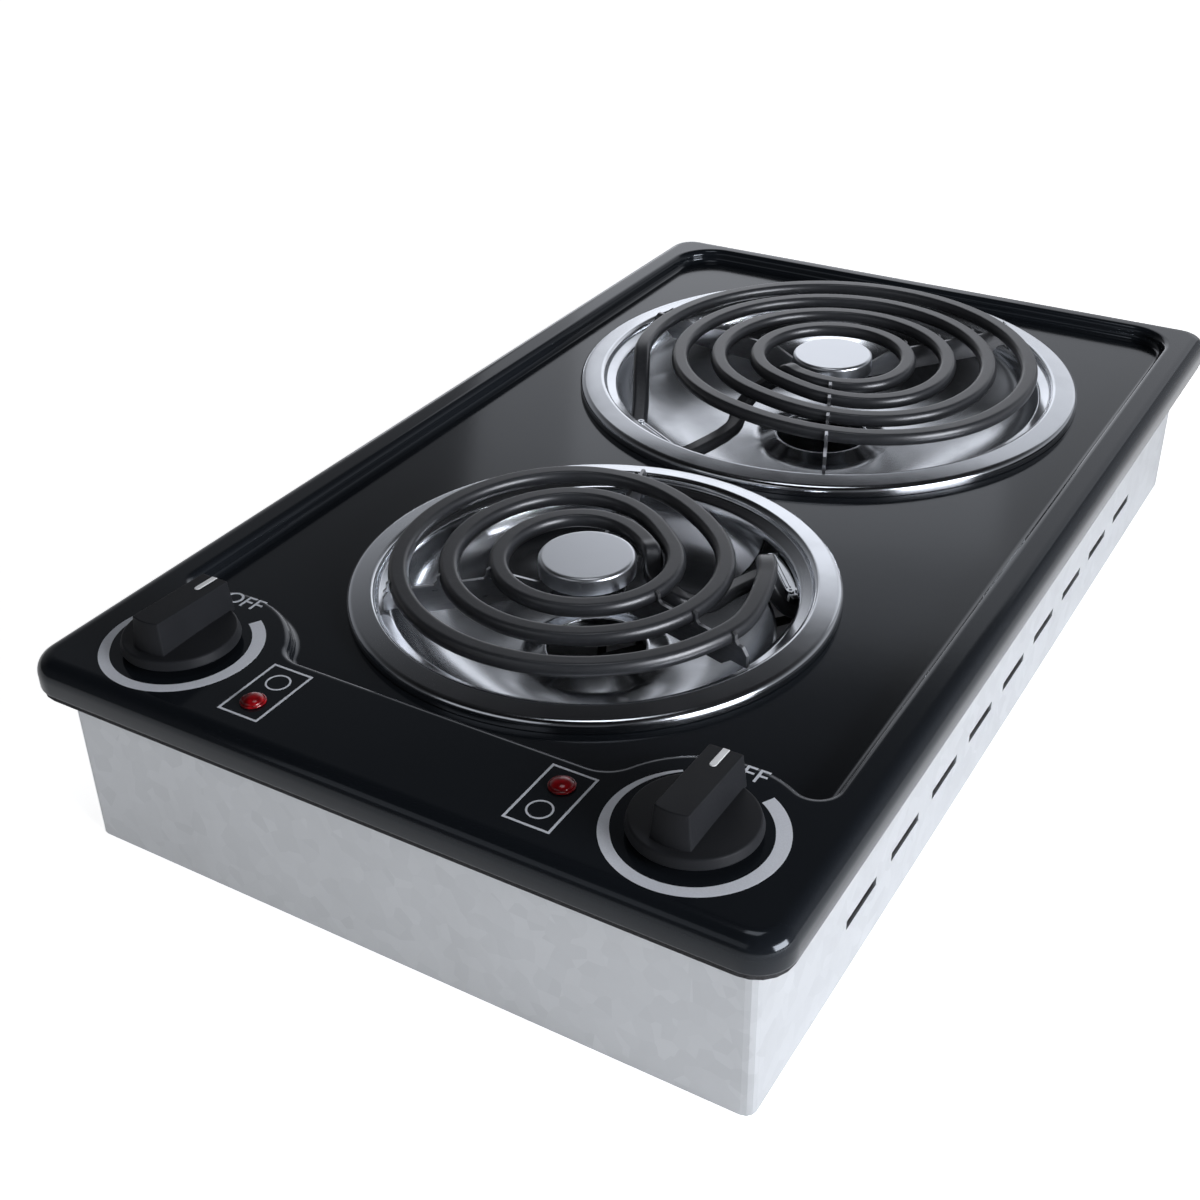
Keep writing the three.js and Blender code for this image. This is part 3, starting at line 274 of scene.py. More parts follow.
class CooktopSizes(bpy.types.PropertyGroup):
    """Sizes that change the look of the pieces without moving them."""

    panel_sheet: bpy.props.FloatProperty(
        name="Panel sheet",
        description="Thickness of the enamelled sheet",
        default=1.0 * MM,
        unit="LENGTH",
    )
    tube_radius: bpy.props.FloatProperty(
        name="Tube radius",
        description="Radius of the sheathed heating tube",
        default=4.0 * MM,
        unit="LENGTH",
    )
    tube_top: bpy.props.FloatProperty(
        name="Tube top",
        description="Height of the heating tube's pressed top over its middle line",
        default=3.4 * MM,
        unit="LENGTH",
    )
    tube_height: bpy.props.FloatProperty(
        name="Tube height",
        description="Height of the heating tube from its rounded underside to its pressed top",
        default=6.0 * MM,
        unit="LENGTH",
    )
    tube_edge: bpy.props.FloatProperty(
        name="Tube edge",
        description="Softness of the edges along the heating tube's pressed top",
        default=0.75 * MM,
        unit="LENGTH",
    )
    tube_sides: bpy.props.IntProperty(
        name="Tube sides",
        description="Faces round the heating tube",
        default=56,
    )
    print_thickness: bpy.props.FloatProperty(
        name="Print thickness",
        description="Thickness of the printed marks",
        default=0.05 * MM,
        unit="LENGTH",
    )
    focal_length: bpy.props.FloatProperty(
        name="Camera focal length",
        description="Focal length in millimetres on a 36 mm wide sensor",
        default=48.48,
    )


class CooktopColors(bpy.types.PropertyGroup):
    """Colours of the main finishes."""

    enamel: bpy.props.FloatVectorProperty(
        name="Enamel",
        description="Black porcelain enamel of the panel",
        default=(0.0075, 0.009, 0.0112),
        subtype="COLOR",
    )
    chrome: bpy.props.FloatVectorProperty(
        name="Chrome",
        description="Plating of the drip pans and centre caps",
        default=(0.63, 0.65, 0.68),
        subtype="COLOR",
    )
    sheath: bpy.props.FloatVectorProperty(
        name="Sheath",
        description="Oxidised sheath of the heating tubes",
        default=(0.03, 0.0315, 0.035),
        subtype="COLOR",
    )
    plastic: bpy.props.FloatVectorProperty(
        name="Plastic",
        description="Black moulded plastic of the knobs",
        default=(0.0132, 0.0138, 0.0154),
        subtype="COLOR",
    )
    lens: bpy.props.FloatVectorProperty(
        name="Lens",
        description="Red of the pilot lamps",
        default=(0.26, 0.003, 0.006),
        subtype="COLOR",
    )
    marks: bpy.props.FloatVectorProperty(
        name="Marks",
        description="Silver grey of the printed marks",
        default=(0.76, 0.78, 0.82),
        subtype="COLOR",
    )


# Shader maths


class Field:
    """One output socket of a node tree, for use in expressions."""

    def __init__(self, tree, socket):
        self.tree = tree
        self.socket = socket

    def math(self, operation, *operands):
        return Nodes(self.tree).node("ShaderNodeMath", *operands, operation=operation)

    def __add__(self, other):
        return self.math("ADD", self, other)

    __radd__ = __add__

    def __sub__(self, other):
        return self.math("SUBTRACT", self, other)

    def __rsub__(self, other):
        return self.math("SUBTRACT", other, self)

    def __mul__(self, other):
        return self.math("MULTIPLY", self, other)

    __rmul__ = __mul__

    def __truediv__(self, other):
        return self.math("DIVIDE", self, other)

    def above(self, level, width):
        """0 below level, 1 above it, with a soft step of the given width."""
        step = (self - (level - width / 2)) / width
        return self.math("MINIMUM", self.math("MAXIMUM", step, 0.0), 1.0)


class Nodes:
    """A node tree that grows node by node."""

    def __init__(self, tree):
        self.tree = tree

    def put(self, value, socket):
        """Links a field to a socket, or sets the socket to a plain value."""
        if isinstance(value, Field):
            self.tree.links.new(value.socket, socket)
        else:
            socket.default_value = value

    def node(self, kind, *operands, output=0, **values):
        """Any node: operands fill its first sockets, names its settings or its other sockets."""
        node = self.tree.nodes.new(kind)
        for key, value in values.items():
            if key.islower():
                setattr(node, key, value)
        for place, operand in enumerate(operands):
            self.put(operand, node.inputs[place])
        for key, value in values.items():
            if not key.islower():
                self.put(value, node.inputs[key.replace("_", " ")])
        return Field(self.tree, node.outputs[output]) if node.outputs else None


class Finish(Nodes):
    """A material built from one glossy surface and the fields that vary over it."""

    def __init__(self, name, color, roughness, metallic=0.0, **constants):
        self.material = bpy.data.materials.new(name)
        self.material.use_nodes = True
        super().__init__(self.material.node_tree)
        self.tree.nodes.clear()
        self.surface = self.tree.nodes.new("ShaderNodeBsdfPrincipled")
        self.output = self.tree.nodes.new("ShaderNodeOutputMaterial")
        self.put(Field(self.tree, self.surface.outputs["BSDF"]), self.output.inputs["Surface"])
        self.set("Base Color", (*color, 1.0))
        self.set("Roughness", roughness)
        self.set("Metallic", metallic)
        for socket, value in constants.items():
            self.set(socket.replace("_", " "), value)
        self.material.diffuse_color = (*color, 1.0)
        self.bump = None

    def set(self, socket, value):
        self.put(value, self.surface.inputs[socket])

    def vary(self, color, roughness):
        self.set("Base Color", color)
        self.set("Roughness", roughness)

    def place(self, scale=(1.0, 1.0, 1.0)):
        """Object coordinates, stretched by a scale."""
        at = self.node("ShaderNodeTexCoord", output="Object")
        return self.node("ShaderNodeMapping", Vector=at, Scale=scale)

    def noise(self, scale, detail=3.0, roughness=0.5, stretch=(1.0, 1.0, 1.0)):
        return self.node(
            "ShaderNodeTexNoise",
            Vector=self.place(stretch),
            Scale=scale,
            Detail=detail,
            Roughness=roughness,
        )

    def cells(self, scale, output="Distance", feature="F1"):
        return self.node(
            "ShaderNodeTexVoronoi",
            output=output,
            feature=feature,
            Vector=self.place(),
            Scale=scale,
        )

    def blend(self, factor, low, high):
        """A colour between two colours."""
        node = self.tree.nodes.new("ShaderNodeMix")
        node.data_type = "RGBA"
        self.put(factor, node.inputs["Factor"])
        for place, color in ((6, low), (7, high)):
            self.put(color if isinstance(color, Field) else (*color, 1.0), node.inputs[place])
        return Field(self.tree, node.outputs[2])

    def relief(self, height, distance, strength=1.0):
        """Adds a bump of the given depth in metres."""
        sockets = {"Height": height, "Distance": distance, "Strength": strength}
        if self.bump is not None:
            sockets["Normal"] = self.bump
        self.bump = self.node("ShaderNodeBump", **sockets)
        self.set("Normal", self.bump)
        return self


def shade(color, factor):
    """A colour made darker or lighter."""
    return tuple(min(channel * factor, 1.0) for channel in color)


# Finishes


def black_enamel(colors):
    tint = (0.88, 0.94, 1.0, 1.0)
    finish = Finish("black_enamel", colors.enamel, 0.11, IOR=1.41, Specular_Tint=tint)
    haze = finish.noise(9.0, 4.0, 0.55)
    finish.vary(finish.blend(haze, colors.enamel, shade(colors.enamel, 1.4)), 0.09 + haze * 0.06)
    finish.relief(finish.noise(300.0, 2.0, 0.4), 0.00002, 0.3)
    return finish.relief(finish.noise(22.0, 1.0), 0.0001, 0.4)


def chrome_plate(colors):
    finish = Finish("chrome_plate", colors.chrome, 0.12, 1.0)
    heat = finish.noise(7.0, 2.0)
    wear = finish.noise(70.0, 4.0, 0.6)
    scuffs = finish.noise(40.0, 3.0, 0.6).above(0.58, 0.25)
    tint = finish.blend(heat, colors.chrome, shade(colors.chrome, 0.92))
    finish.vary(
        finish.blend(scuffs * 0.2, tint, shade(colors.chrome, 0.75)),
        0.12 + wear * 0.06 + scuffs * 0.05,
    )
    return finish.relief(finish.noise(14.0, 1.0, 0.4), 0.0003, 0.3)


def satin_cap(colors):
    finish = Finish("satin_chrome_cap", colors.chrome, 0.28, 1.0)
    grain = finish.noise(900.0, 3.0, 0.6)
    cloud = finish.noise(30.0, 3.0, 0.5)
    finish.vary(
        finish.blend(cloud, shade(colors.chrome, 0.94), shade(colors.chrome, 1.08)),
        0.26 + cloud * 0.05 + grain * 0.03,
    )
    return finish.relief(grain, 0.000004, 0.3)


def oxidised_sheath(colors):
    finish = Finish("oxidised_sheath", colors.sheath, 0.34, 0.2, IOR=1.6)
    patches = finish.noise(38.0, 5.0, 0.6)
    scale = finish.noise(650.0, 3.0, 0.6)
    scratches = finish.noise(260.0, 2.0, 0.5, (1.0, 1.0, 6.0)).above(0.63, 0.1)
    base = finish.blend(patches, shade(colors.sheath, 0.8), shade(colors.sheath, 1.25))
    finish.vary(
        finish.blend(scratches * 0.3, base, shade(colors.sheath, 1.8)),
        0.24 + patches * 0.1 + scale * 0.06,
    )
    return finish.relief(scale, 0.00002, 0.3)


def plated_steel(colors):
    finish = Finish("bright_plated_steel", (0.4, 0.41, 0.43), 0.28, 1.0)
    grain = finish.noise(140.0, 4.0, 0.6, (1.0, 1.0, 7.0))
    stains = finish.noise(24.0, 4.0, 0.6).above(0.55, 0.25)
    base = finish.blend(grain, (0.3, 0.31, 0.33), (0.5, 0.51, 0.53))
    finish.vary(
        finish.blend(stains * 0.5, base, (0.16, 0.145, 0.13)),
        0.22 + grain * 0.16 + stains * 0.12,
    )
    return finish.relief(grain, 0.00002, 0.4)


def galvanised_sheet(colors):
    finish = Finish("galvanised_sheet", (0.52, 0.54, 0.56), 0.42, 0.85)
    crystals = finish.cells(150.0, "Color")
    frost = finish.noise(420.0, 3.0, 0.6)
    streaks = finish.noise(30.0, 4.0, 0.6, (1.0, 1.0, 0.35))
    value = finish.node("ShaderNodeRGBToBW", Color=crystals)
    base = finish.blend(value, (0.57, 0.585, 0.6), (0.65, 0.665, 0.68))
    finish.vary(
        finish.blend(streaks.above(0.6, 0.2) * 0.2, base, (0.5, 0.51, 0.52)),
        0.38 + value * 0.08 + frost * 0.06,
    )
    return finish.relief(frost, 0.00002, 0.3)


def textured_plastic(colors):
    finish = Finish("textured_black_plastic", colors.plastic, 0.45, Specular_IOR_Level=0.1)
    pebble = finish.cells(1300.0)
    polish = finish.noise(60.0, 3.0, 0.5)
    finish.vary(
        finish.blend(polish, colors.plastic, shade(colors.plastic, 1.6)),
        0.38 + polish * 0.08 + pebble * 0.06,
    )
    return finish.relief(pebble, 0.00003, 0.3)


def pointer_white(colors):
    finish = Finish("white_insert", (0.94, 0.94, 0.93), 0.38)
    mottle = finish.noise(220.0, 3.0, 0.5)
    finish.vary(finish.blend(mottle, (0.9, 0.9, 0.89), (0.97, 0.97, 0.96)), 0.34 + mottle * 0.1)
    return finish.relief(mottle, 0.00002, 0.3)


def lens_red(colors):
    finish = Finish("red_lamp_lens", colors.lens, 0.14)
    prisms = finish.cells(520.0, feature="SMOOTH_F1")
    deep = shade(colors.lens, 0.45)
    finish.vary(
        finish.blend(prisms.above(0.45, 0.5), shade(colors.lens, 1.3), deep),
        0.12 + prisms * 0.1,
    )
    return finish.relief(prisms, 0.0001, 0.4)


def silver_print(colors):
    finish = Finish("silver_print", colors.marks, 0.42)
    flecks = finish.noise(1800.0, 2.0, 0.6)
    color = finish.blend(flecks, shade(colors.marks, 0.88), shade(colors.marks, 1.1))
    finish.vary(color, 0.38 + flecks * 0.14)
    return finish.relief(flecks, 0.000006, 0.3)


def receptacle_ceramic(colors):
    finish = Finish("unglazed_ceramic", (0.62, 0.57, 0.49), 0.75)
    grit = finish.noise(500.0, 4.0, 0.7)
    soot = finish.noise(45.0, 4.0, 0.6).above(0.55, 0.2)
    base = finish.blend(grit, (0.55, 0.5, 0.43), (0.68, 0.63, 0.55))
    finish.vary(finish.blend(soot * 0.4, base, (0.2, 0.17, 0.14)), 0.66 + grit * 0.2)
    return finish.relief(grit, 0.00008, 0.6)


def switch_phenolic(colors):
    finish = Finish("moulded_phenolic", (0.03, 0.022, 0.018), 0.5)
    flow = finish.noise(70.0, 5.0, 0.6, (1.0, 2.5, 1.0))
    finish.vary(finish.blend(flow, (0.022, 0.017, 0.014), (0.055, 0.04, 0.032)), 0.42 + flow * 0.16)
    return finish.relief(flow, 0.00004, 0.4)


def turned_brass(colors):
    finish = Finish("turned_brass", (0.6, 0.44, 0.2), 0.28, 1.0)
    rings = finish.noise(900.0, 3.0, 0.6, (1.0, 1.0, 4.0))
    tarnish = finish.noise(60.0, 4.0, 0.6).above(0.55, 0.2)
    base = finish.blend(rings, (0.55, 0.4, 0.17), (0.68, 0.5, 0.24))
    finish.vary(
        finish.blend(tarnish * 0.5, base, (0.3, 0.2, 0.09)),
        0.22 + rings * 0.12 + tarnish * 0.12,
    )
    return finish.relief(rings, 0.00001, 0.3)


def foam_gasket(colors):
    finish = Finish("foam_gasket", (0.02, 0.02, 0.021), 0.92)
    pores = finish.cells(1400.0)
    finish.vary(
        finish.blend(pores, (0.012, 0.012, 0.013), (0.04, 0.04, 0.042)),
        0.84 + pores * 0.12,
    )
    return finish.relief(pores, 0.0003, 0.8)


def braided_sleeve(colors):
    finish = Finish("braided_sleeve", (0.04, 0.04, 0.042), 0.8)
    braid = finish.node(
        "ShaderNodeTexWave",
        output="Fac",
        bands_direction="DIAGONAL",
        Vector=finish.place(),
        Scale=700.0,
        Distortion=1.5,
    )
    finish.vary(finish.blend(braid, (0.02, 0.02, 0.021), (0.07, 0.07, 0.072)), 0.72 + braid * 0.2)
    return finish.relief(braid, 0.00015, 0.7)


FINISHES = {
    "enamel": black_enamel,
    "chrome": chrome_plate,
    "cap": satin_cap,
    "sheath": oxidised_sheath,
    "steel": plated_steel,
    "galvanised": galvanised_sheet,
    "plastic": textured_plastic,
    "white": pointer_white,
    "red": lens_red,
    "marks": silver_print,
    "ceramic": receptacle_ceramic,
    "phenolic": switch_phenolic,
    "brass": turned_brass,
    "foam": foam_gasket,
    "sleeving": braided_sleeve,
}
made_finishes = {}


def finish_of(name):
    """The finish's material, made once."""
    if name not in made_finishes:
        colors = bpy.context.scene.cooktop_colors
        made_finishes[name] = FINISHES[name](colors).material
    return made_finishes[name]


def dress(finish, *nodes):
    """Gives nodes of the frame their finish."""
    material = finish_of(finish)
    for node in nodes:
        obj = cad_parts[node]
        if not obj.material_slots:
            obj.data.materials.append(material)
        for slot in obj.material_slots:
            slot.material = material


# Shapes, all in millimetres until a piece is made


class Shape:
    """Points and faces that grow ring by ring."""

    def __init__(self):
        self.points = []
        self.faces = []

    def ring(self, points):
        first = len(self.points)
        self.points.extend(Vector(point) for point in points)
        return list(range(first, len(self.points)))

    def bridge(self, first, second, closed=True):
        count = len(first)
        for i in range(count if closed else count - 1):
            j = (i + 1) % count
            self.faces.append((first[i], first[j], second[j], second[i]))

    def bridges(self, rings, around=False):
        for first, second in zip(rings, rings[1:]):
            self.bridge(first, second)
        if around:
            self.bridge(rings[-1], rings[0])

    def cap(self, ring, turned=False):
        self.faces.append(tuple(reversed(ring)) if turned else tuple(ring))

    def fan(self, ring, point):
        centre = self.ring([point])[0]
        for i, index in enumerate(ring):
            self.faces.append((index, ring[(i + 1) % len(ring)], centre))

    def flat(self, outer, holes=()):
        """Fills a level outline and leaves its holes open."""
        loops = [outer, *holes]
        order = [index for loop in loops for index in loop]
        lines = [[self.points[index] for index in loop] for loop in loops]
        for triangle in tessellate_polygon(lines):
            self.faces.append(tuple(order[corner] for corner in triangle))

    def moved(self, matrix):
        self.points = [matrix @ point for point in self.points]
        return self


def linked(name, data):
    """A new object in the scene."""
    obj = bpy.data.objects.new(name, data)
    bpy.context.scene.collection.objects.link(obj)
    return obj


def cleaned(mesh):
    """The closed mesh with its doubled points joined and its faces outward."""
    work = bmesh.new()
    work.from_mesh(mesh)
    bmesh.ops.remove_doubles(work, verts=work.verts, dist=MERGE_DISTANCE * MM)
    bmesh.ops.recalc_face_normals(work, faces=work.faces)
    work.to_mesh(mesh)
    work.free()
    return mesh


def make(name, shape, finish, sharp=SHARP_ANGLE):
    """A mesh object from a shape, with its faces outward and its edges eased by angle."""
    mesh = bpy.data.meshes.new(name)
    mesh.from_pydata([point * MM for point in shape.points], [], shape.faces)
    obj = linked(name, cleaned(mesh))
    mesh.materials.append(finish_of(finish))
    smooth(obj, sharp)
    return obj


def smooth(obj, sharp=SHARP_ANGLE):
    mesh = obj.data
    mesh.polygons.foreach_set("use_smooth", [True] * len(mesh.polygons))
    mesh.set_sharp_from_angle(angle=math.radians(sharp))


def crisp(obj):
    """Flat faces stay flat up to their rounded edges."""
    smooth(obj)
    return modified(obj, "WEIGHTED_NORMAL", keep_sharp=True)


def evaluated(obj):
    """The mesh that an object shows."""
    depsgraph = bpy.context.evaluated_depsgraph_get()
    return bpy.data.meshes.new_from_object(obj.evaluated_get(depsgraph))


def unrolled(carrier):
    """The mesh that a curve's object shows; the curve goes."""
    mesh = evaluated(carrier)
    curve = carrier.data
    bpy.data.objects.remove(carrier)
    bpy.data.curves.remove(curve)
    return mesh


def modified(obj, kind, **settings):
    """The object with a modifier applied to its mesh."""
    modifier = obj.modifiers.new(kind.lower(), kind)
    for key, value in settings.items():
        setattr(modifier, key, value)
    mesh = evaluated(obj)
    obj.modifiers.clear()
    old = obj.data
    obj.data = mesh
    bpy.data.meshes.remove(old)
    return obj


def bevelled(obj, width, segments):
    angle = math.radians(BEVEL_ANGLE)
    return modified(obj, "BEVEL", width=width * MM, segments=segments, angle_limit=angle)


def bored(obj, cutter, operation="DIFFERENCE"):
    """The object with another cut from it, or joined to it."""
    modified(obj, "BOOLEAN", object=cutter, operation=operation, solver="EXACT")
    bpy.data.objects.remove(cutter)
    return obj


def belongs(obj, body, slot, *nodes):
    """Puts a finished piece on its body and in the place of its nodes."""
    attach(obj, body)
    if nodes:
        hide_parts(*nodes)
    return obj


def arc(x, y, radius, start, end, steps):
    return [
        Vector((
            x + radius * math.cos(start + (end - start) * i / steps),
            y + radius * math.sin(start + (end - start) * i / steps),
        ))
        for i in range(steps + 1)
    ]


def circle(x, y, radius, z, steps=48):
    return raised(arc(x, y, radius, 0, math.tau, steps)[:-1], z)


def without_repeats(points, least=0.05):
    return [
        point for i, point in enumerate(points)
        if (points[(i + 1) % len(points)] - point).length > least
    ]


def rounded_rectangle(width, depth, radius, steps=ARC_STEPS):
    points = []
    for quarter, (side_x, side_y) in enumerate(((1, 1), (-1, 1), (-1, -1), (1, -1))):
        start = quarter * math.pi / 2
        x = side_x * (width / 2 - radius)
        y = side_y * (depth / 2 - radius)
        points += arc(x, y, radius, start, start + math.pi / 2, steps)
    return without_repeats(points)


def inset(outline, distance):
    """The outline moved inward along its own normals."""
    count = len(outline)
    moved = []
    for i, point in enumerate(outline):
        incoming = (point - outline[i - 1]).normalized()
        outgoing = (outline[(i + 1) % count] - point).normalized()
        along = (incoming + outgoing).normalized()
        normal = Vector((-along.y, along.x))
        spread = max(normal.dot(Vector((-incoming.y, incoming.x))), 0.5)
        moved.append(point + normal * distance / spread)
    return moved


def raised(outline, z):
    return [Vector((point.x, point.y, z)) for point in outline]


def revolve(profile, steps, x=0.0, y=0.0):
    """A closed body from a profile of (radius, height) points turned about Z."""
    shape = Shape()
    rings = []
    poles = []
    for place, (radius, z) in enumerate(profile):
        if radius < 1e-6:
            poles.append((place, z))
            continue
        rings.append(shape.ring(circle(x, y, radius, z, steps)))
    shape.bridges(rings, around=not poles)
    for place, z in poles:
        shape.fan(rings[0] if place == 0 else rings[-1], (x, y, z))
    return shape


def loft(rings):
    shape = Shape()
    loops = [shape.ring(ring) for ring in rings]
    shape.bridges(loops)
    shape.cap(loops[0], turned=True)
    shape.cap(loops[-1])
    return shape


def upright_plate(line, thickness):
    """A plate along Y from an outline of (x, z) points."""
    return loft([[(x, side * thickness / 2, z) for x, z in line] for side in (-1, 1)])


def block(width, depth, height, x, y, z):
    """A box by its middle in X and Y and its lower face."""
    foot = [(x + i * width / 2, y + j * depth / 2) for i, j in CORNERS]
    return loft([[(*corner, level) for corner in foot] for level in (z, z + height)])


def thickened(line, thickness):
    """An open line of (radius, height) points given a sheet thickness on its right-hand side."""
    points = [Vector(point) for point in line]
    other = []
    for i, point in enumerate(points):
        before = (point - points[max(i - 1, 0)]).normalized()
        after = (points[min(i + 1, len(points) - 1)] - point).normalized()
        along = (before + after).normalized()
        facing = before if before.length else after
        spread = max(along.dot(facing), 0.6)
        other.append(point + Vector((along.y, -along.x)) * thickness / spread)
    return [tuple(point) for point in points + other[::-1]]


def eased(points, radius, steps=4):
    """A line with its inner corners rounded."""
    line = [Vector(points[0])]
    for before, corner, after in zip(points, points[1:], points[2:]):
        corner = Vector(corner)
        back = Vector(before) - corner
        ahead = Vector(after) - corner
        reach = min(radius, back.length * 0.48, ahead.length * 0.48)
        start = corner + back.normalized() * reach
        end = corner + ahead.normalized() * reach
        for i in range(steps + 1):
            share = i / steps
            line.append(start.lerp(corner, share).lerp(corner.lerp(end, share), share))
    line.append(Vector(points[-1]))
    return [tuple(point) for point in line]


# Enamelled panel


def recess_outline():
    """The recess: straight sides and rear, and a front edge that swings round each control."""
    front_y = WELL_FRONT + ISLAND_FRONT_FILLET
    front_reach = ISLAND_RADIUS + ISLAND_FRONT_FILLET
    front_x = KNOB_X - math.sqrt(front_reach ** 2 - (front_y - KNOB_Y) ** 2)
    side_x = WELL_HALF_WIDTH - ISLAND_SIDE_FILLET
    side_reach = ISLAND_RADIUS + ISLAND_SIDE_FILLET
    side_y = KNOB_Y + math.sqrt(side_reach ** 2 - (side_x - KNOB_X) ** 2)
    to_front = math.atan2(front_y - KNOB_Y, front_x - KNOB_X)
    to_side = math.atan2(side_y - KNOB_Y, side_x - KNOB_X)
    corner_x = WELL_HALF_WIDTH - WELL_CORNER
    corner_y = WELL_REAR - WELL_CORNER
    right = [
        *arc(front_x, front_y, ISLAND_FRONT_FILLET, -math.pi / 2, to_front - math.pi, ARC_STEPS),
        *arc(KNOB_X, KNOB_Y, ISLAND_RADIUS, to_front, to_side, 3 * ARC_STEPS),
        *arc(side_x, side_y, ISLAND_SIDE_FILLET, to_side - math.pi, 0, ARC_STEPS),
        *arc(corner_x, corner_y, WELL_CORNER, 0, math.pi / 2, ARC_STEPS),
    ]
    left = [Vector((-point.x, point.y)) for point in reversed(right)]
    return without_repeats(right + left)


def lamp_place(side, end):
    """Middle of a lamp, or of the ring mark beside it, at the front or rear end of its frame."""
    return side * LAMP_X, LAMP_Y + end * LAMP_PITCH / 2


def wall_radius(size):
    return size["lip"] - LIP_ROUND - size["face"]


def quarter(steps):
    """Sine and cosine pairs through a quarter turn."""
    return [
        (math.sin(math.pi / 2 * i / steps), math.cos(math.pi / 2 * i / steps))
        for i in range(steps + 1)
    ]


def panel_skin():
    rim = rounded_rectangle(PANEL_WIDTH, PANEL_DEPTH, PANEL_CORNER)
    recess = recess_outline()
    skin = Shape()
    edge = [(HEM_WIDTH, WORKTOP_HEIGHT), (HEM_ROUND + EASE, WORKTOP_HEIGHT)]
    for sine, cosine in quarter(4):
        edge.append((HEM_ROUND * (1 - sine), WORKTOP_HEIGHT + HEM_ROUND * (1 - cosine)))
    roll_foot = RIM_HEIGHT - FLANGE_ROLL
    for sine, cosine in quarter(12):
        edge.append((FLANGE_ROLL * (1 - cosine), roll_foot + FLANGE_ROLL * sine))
    edge.append((FLANGE_ROLL + EASE, RIM_HEIGHT))
    outer = [skin.ring(raised(inset(rim, distance), z)) for distance, z in edge]
    skin.bridges(outer)

    dip = [(-WELL_ROLL - EASE, RIM_HEIGHT)]
    for sine, cosine in quarter(8):
        dip.append((-WELL_ROLL * (1 - sine), RIM_HEIGHT - WELL_ROLL * (1 - cosine)))
    for sine, cosine in quarter(6):
        dip.append((WELL_FOOT_ROUND * (1 - cosine), WELL_HEIGHT + WELL_FOOT_ROUND * (1 - sine)))
    dip.append((WELL_FOOT_ROUND + EASE, WELL_HEIGHT))
    inner = [skin.ring(raised(inset(recess, distance), z)) for distance, z in dip]
    skin.bridges(inner)

    sides = SIDES.values()
    holes = [skin.ring(circle(side * KNOB_X, KNOB_Y, SHAFT_HOLE, RIM_HEIGHT)) for side in sides]
    holes += [
        skin.ring(circle(*lamp_place(side, side), LAMP_HOLE, RIM_HEIGHT, LAMP_HOLE_STEPS))
        for side in sides
    ]
    skin.flat(outer[-1], [inner[0], *holes])
    openings = [
        skin.ring(circle(*size["pan"], wall_radius(size) + PAN_GAP, WELL_HEIGHT, PAN_STEPS))
        for size in BURNER_SIZES.values()
    ]
    skin.flat(inner[-1], openings)
    return skin


class COOKTOP_OT_panel(bpy.types.Operator):
    """Enamelled sheet panel with its rolled rim, its recess and the openings for the pans"""

    bl_idname = "cooktop.panel"
    bl_label = "Enamelled panel"

    def execute(self, context):
        sizes = context.scene.cooktop_sizes
        obj = make("enamelled_panel", panel_skin(), "enamel")
        rim_face = max(obj.data.polygons, key=lambda face: face.center.z + face.area)
        if rim_face.normal.z < 0:
            obj.data.flip_normals()
        sheet = {"thickness": sizes.panel_sheet, "offset": -1.0}
        modified(obj, "SOLIDIFY", use_even_offset=True, use_rim=True, **sheet)
        smooth(obj)
        belongs(obj, "cooktop", "enamel", "cooktop_panel")
        return {"FINISHED"}


# Drip pans


def pan_profile(size):
    """Radius and height from the drain up the bowl to the foot of the rolled lip."""
    wall = wall_radius(size)
    lip = size["lip"]
    top = LEDGE_HEIGHT - THROAT
    bowl = wall - LEDGE_WIDTH - THROAT / 2
    shoulder = LIP_HEIGHT - FACE_FALL
    line = [(lip, SEAT_GAP)]
    for sine, cosine in quarter(8):
        line.append((lip - LIP_ROUND * (1 - cosine), shoulder - LIP_ROUND * (1 - sine)))
    line += eased(
        [
            (lip - LIP_ROUND, shoulder),
            (wall + THROAT, LIP_HEIGHT),
            (wall, LIP_HEIGHT - THROAT),
            (wall, LEDGE_HEIGHT),
            (wall - LEDGE_WIDTH, LEDGE_HEIGHT - LEDGE_FALL),
            (bowl, top - THROAT),
        ],
        THROAT,
    )[1:-1]
    for i in range(2, BOWL_STEPS):
        angle = math.pi / 2 * i / BOWL_STEPS
        line.append((
            size["bowl_floor"] + (bowl - size["bowl_floor"]) * math.cos(angle),
            top - (top + BOWL_DEPTH) * math.sin(angle),
        ))
    collar_top = COLLAR_RISE - BOWL_DEPTH
    line += eased(
        [
            (size["bowl_floor"], -BOWL_DEPTH),
            (size["drain"] + COLLAR_WIDTH + COLLAR_FOOT, -BOWL_DEPTH),
            (size["drain"] + COLLAR_LIP, collar_top),
            (size["drain"], collar_top),
            (size["drain"], -BOWL_DEPTH),
        ],
        COLLAR_ROUND,
        5,
    )
    return [(radius, z + WELL_HEIGHT) for radius, z in reversed(line)]


def wall_along_terminals(size):
    """Distance from the element's middle to the pan's wall, along the terminals."""
    turn = math.radians(size["terminal_turn"])
    shift = Vector(size["pan"]) - Vector(size["element"])
    return wall_radius(size) + shift.x * math.cos(turn) + shift.y * math.sin(turn)


def element_place(size):
    turn = Matrix.Rotation(math.radians(size["terminal_turn"]), 4, "Z")
    return Matrix.Translation((*size["element"], 0)) @ turn


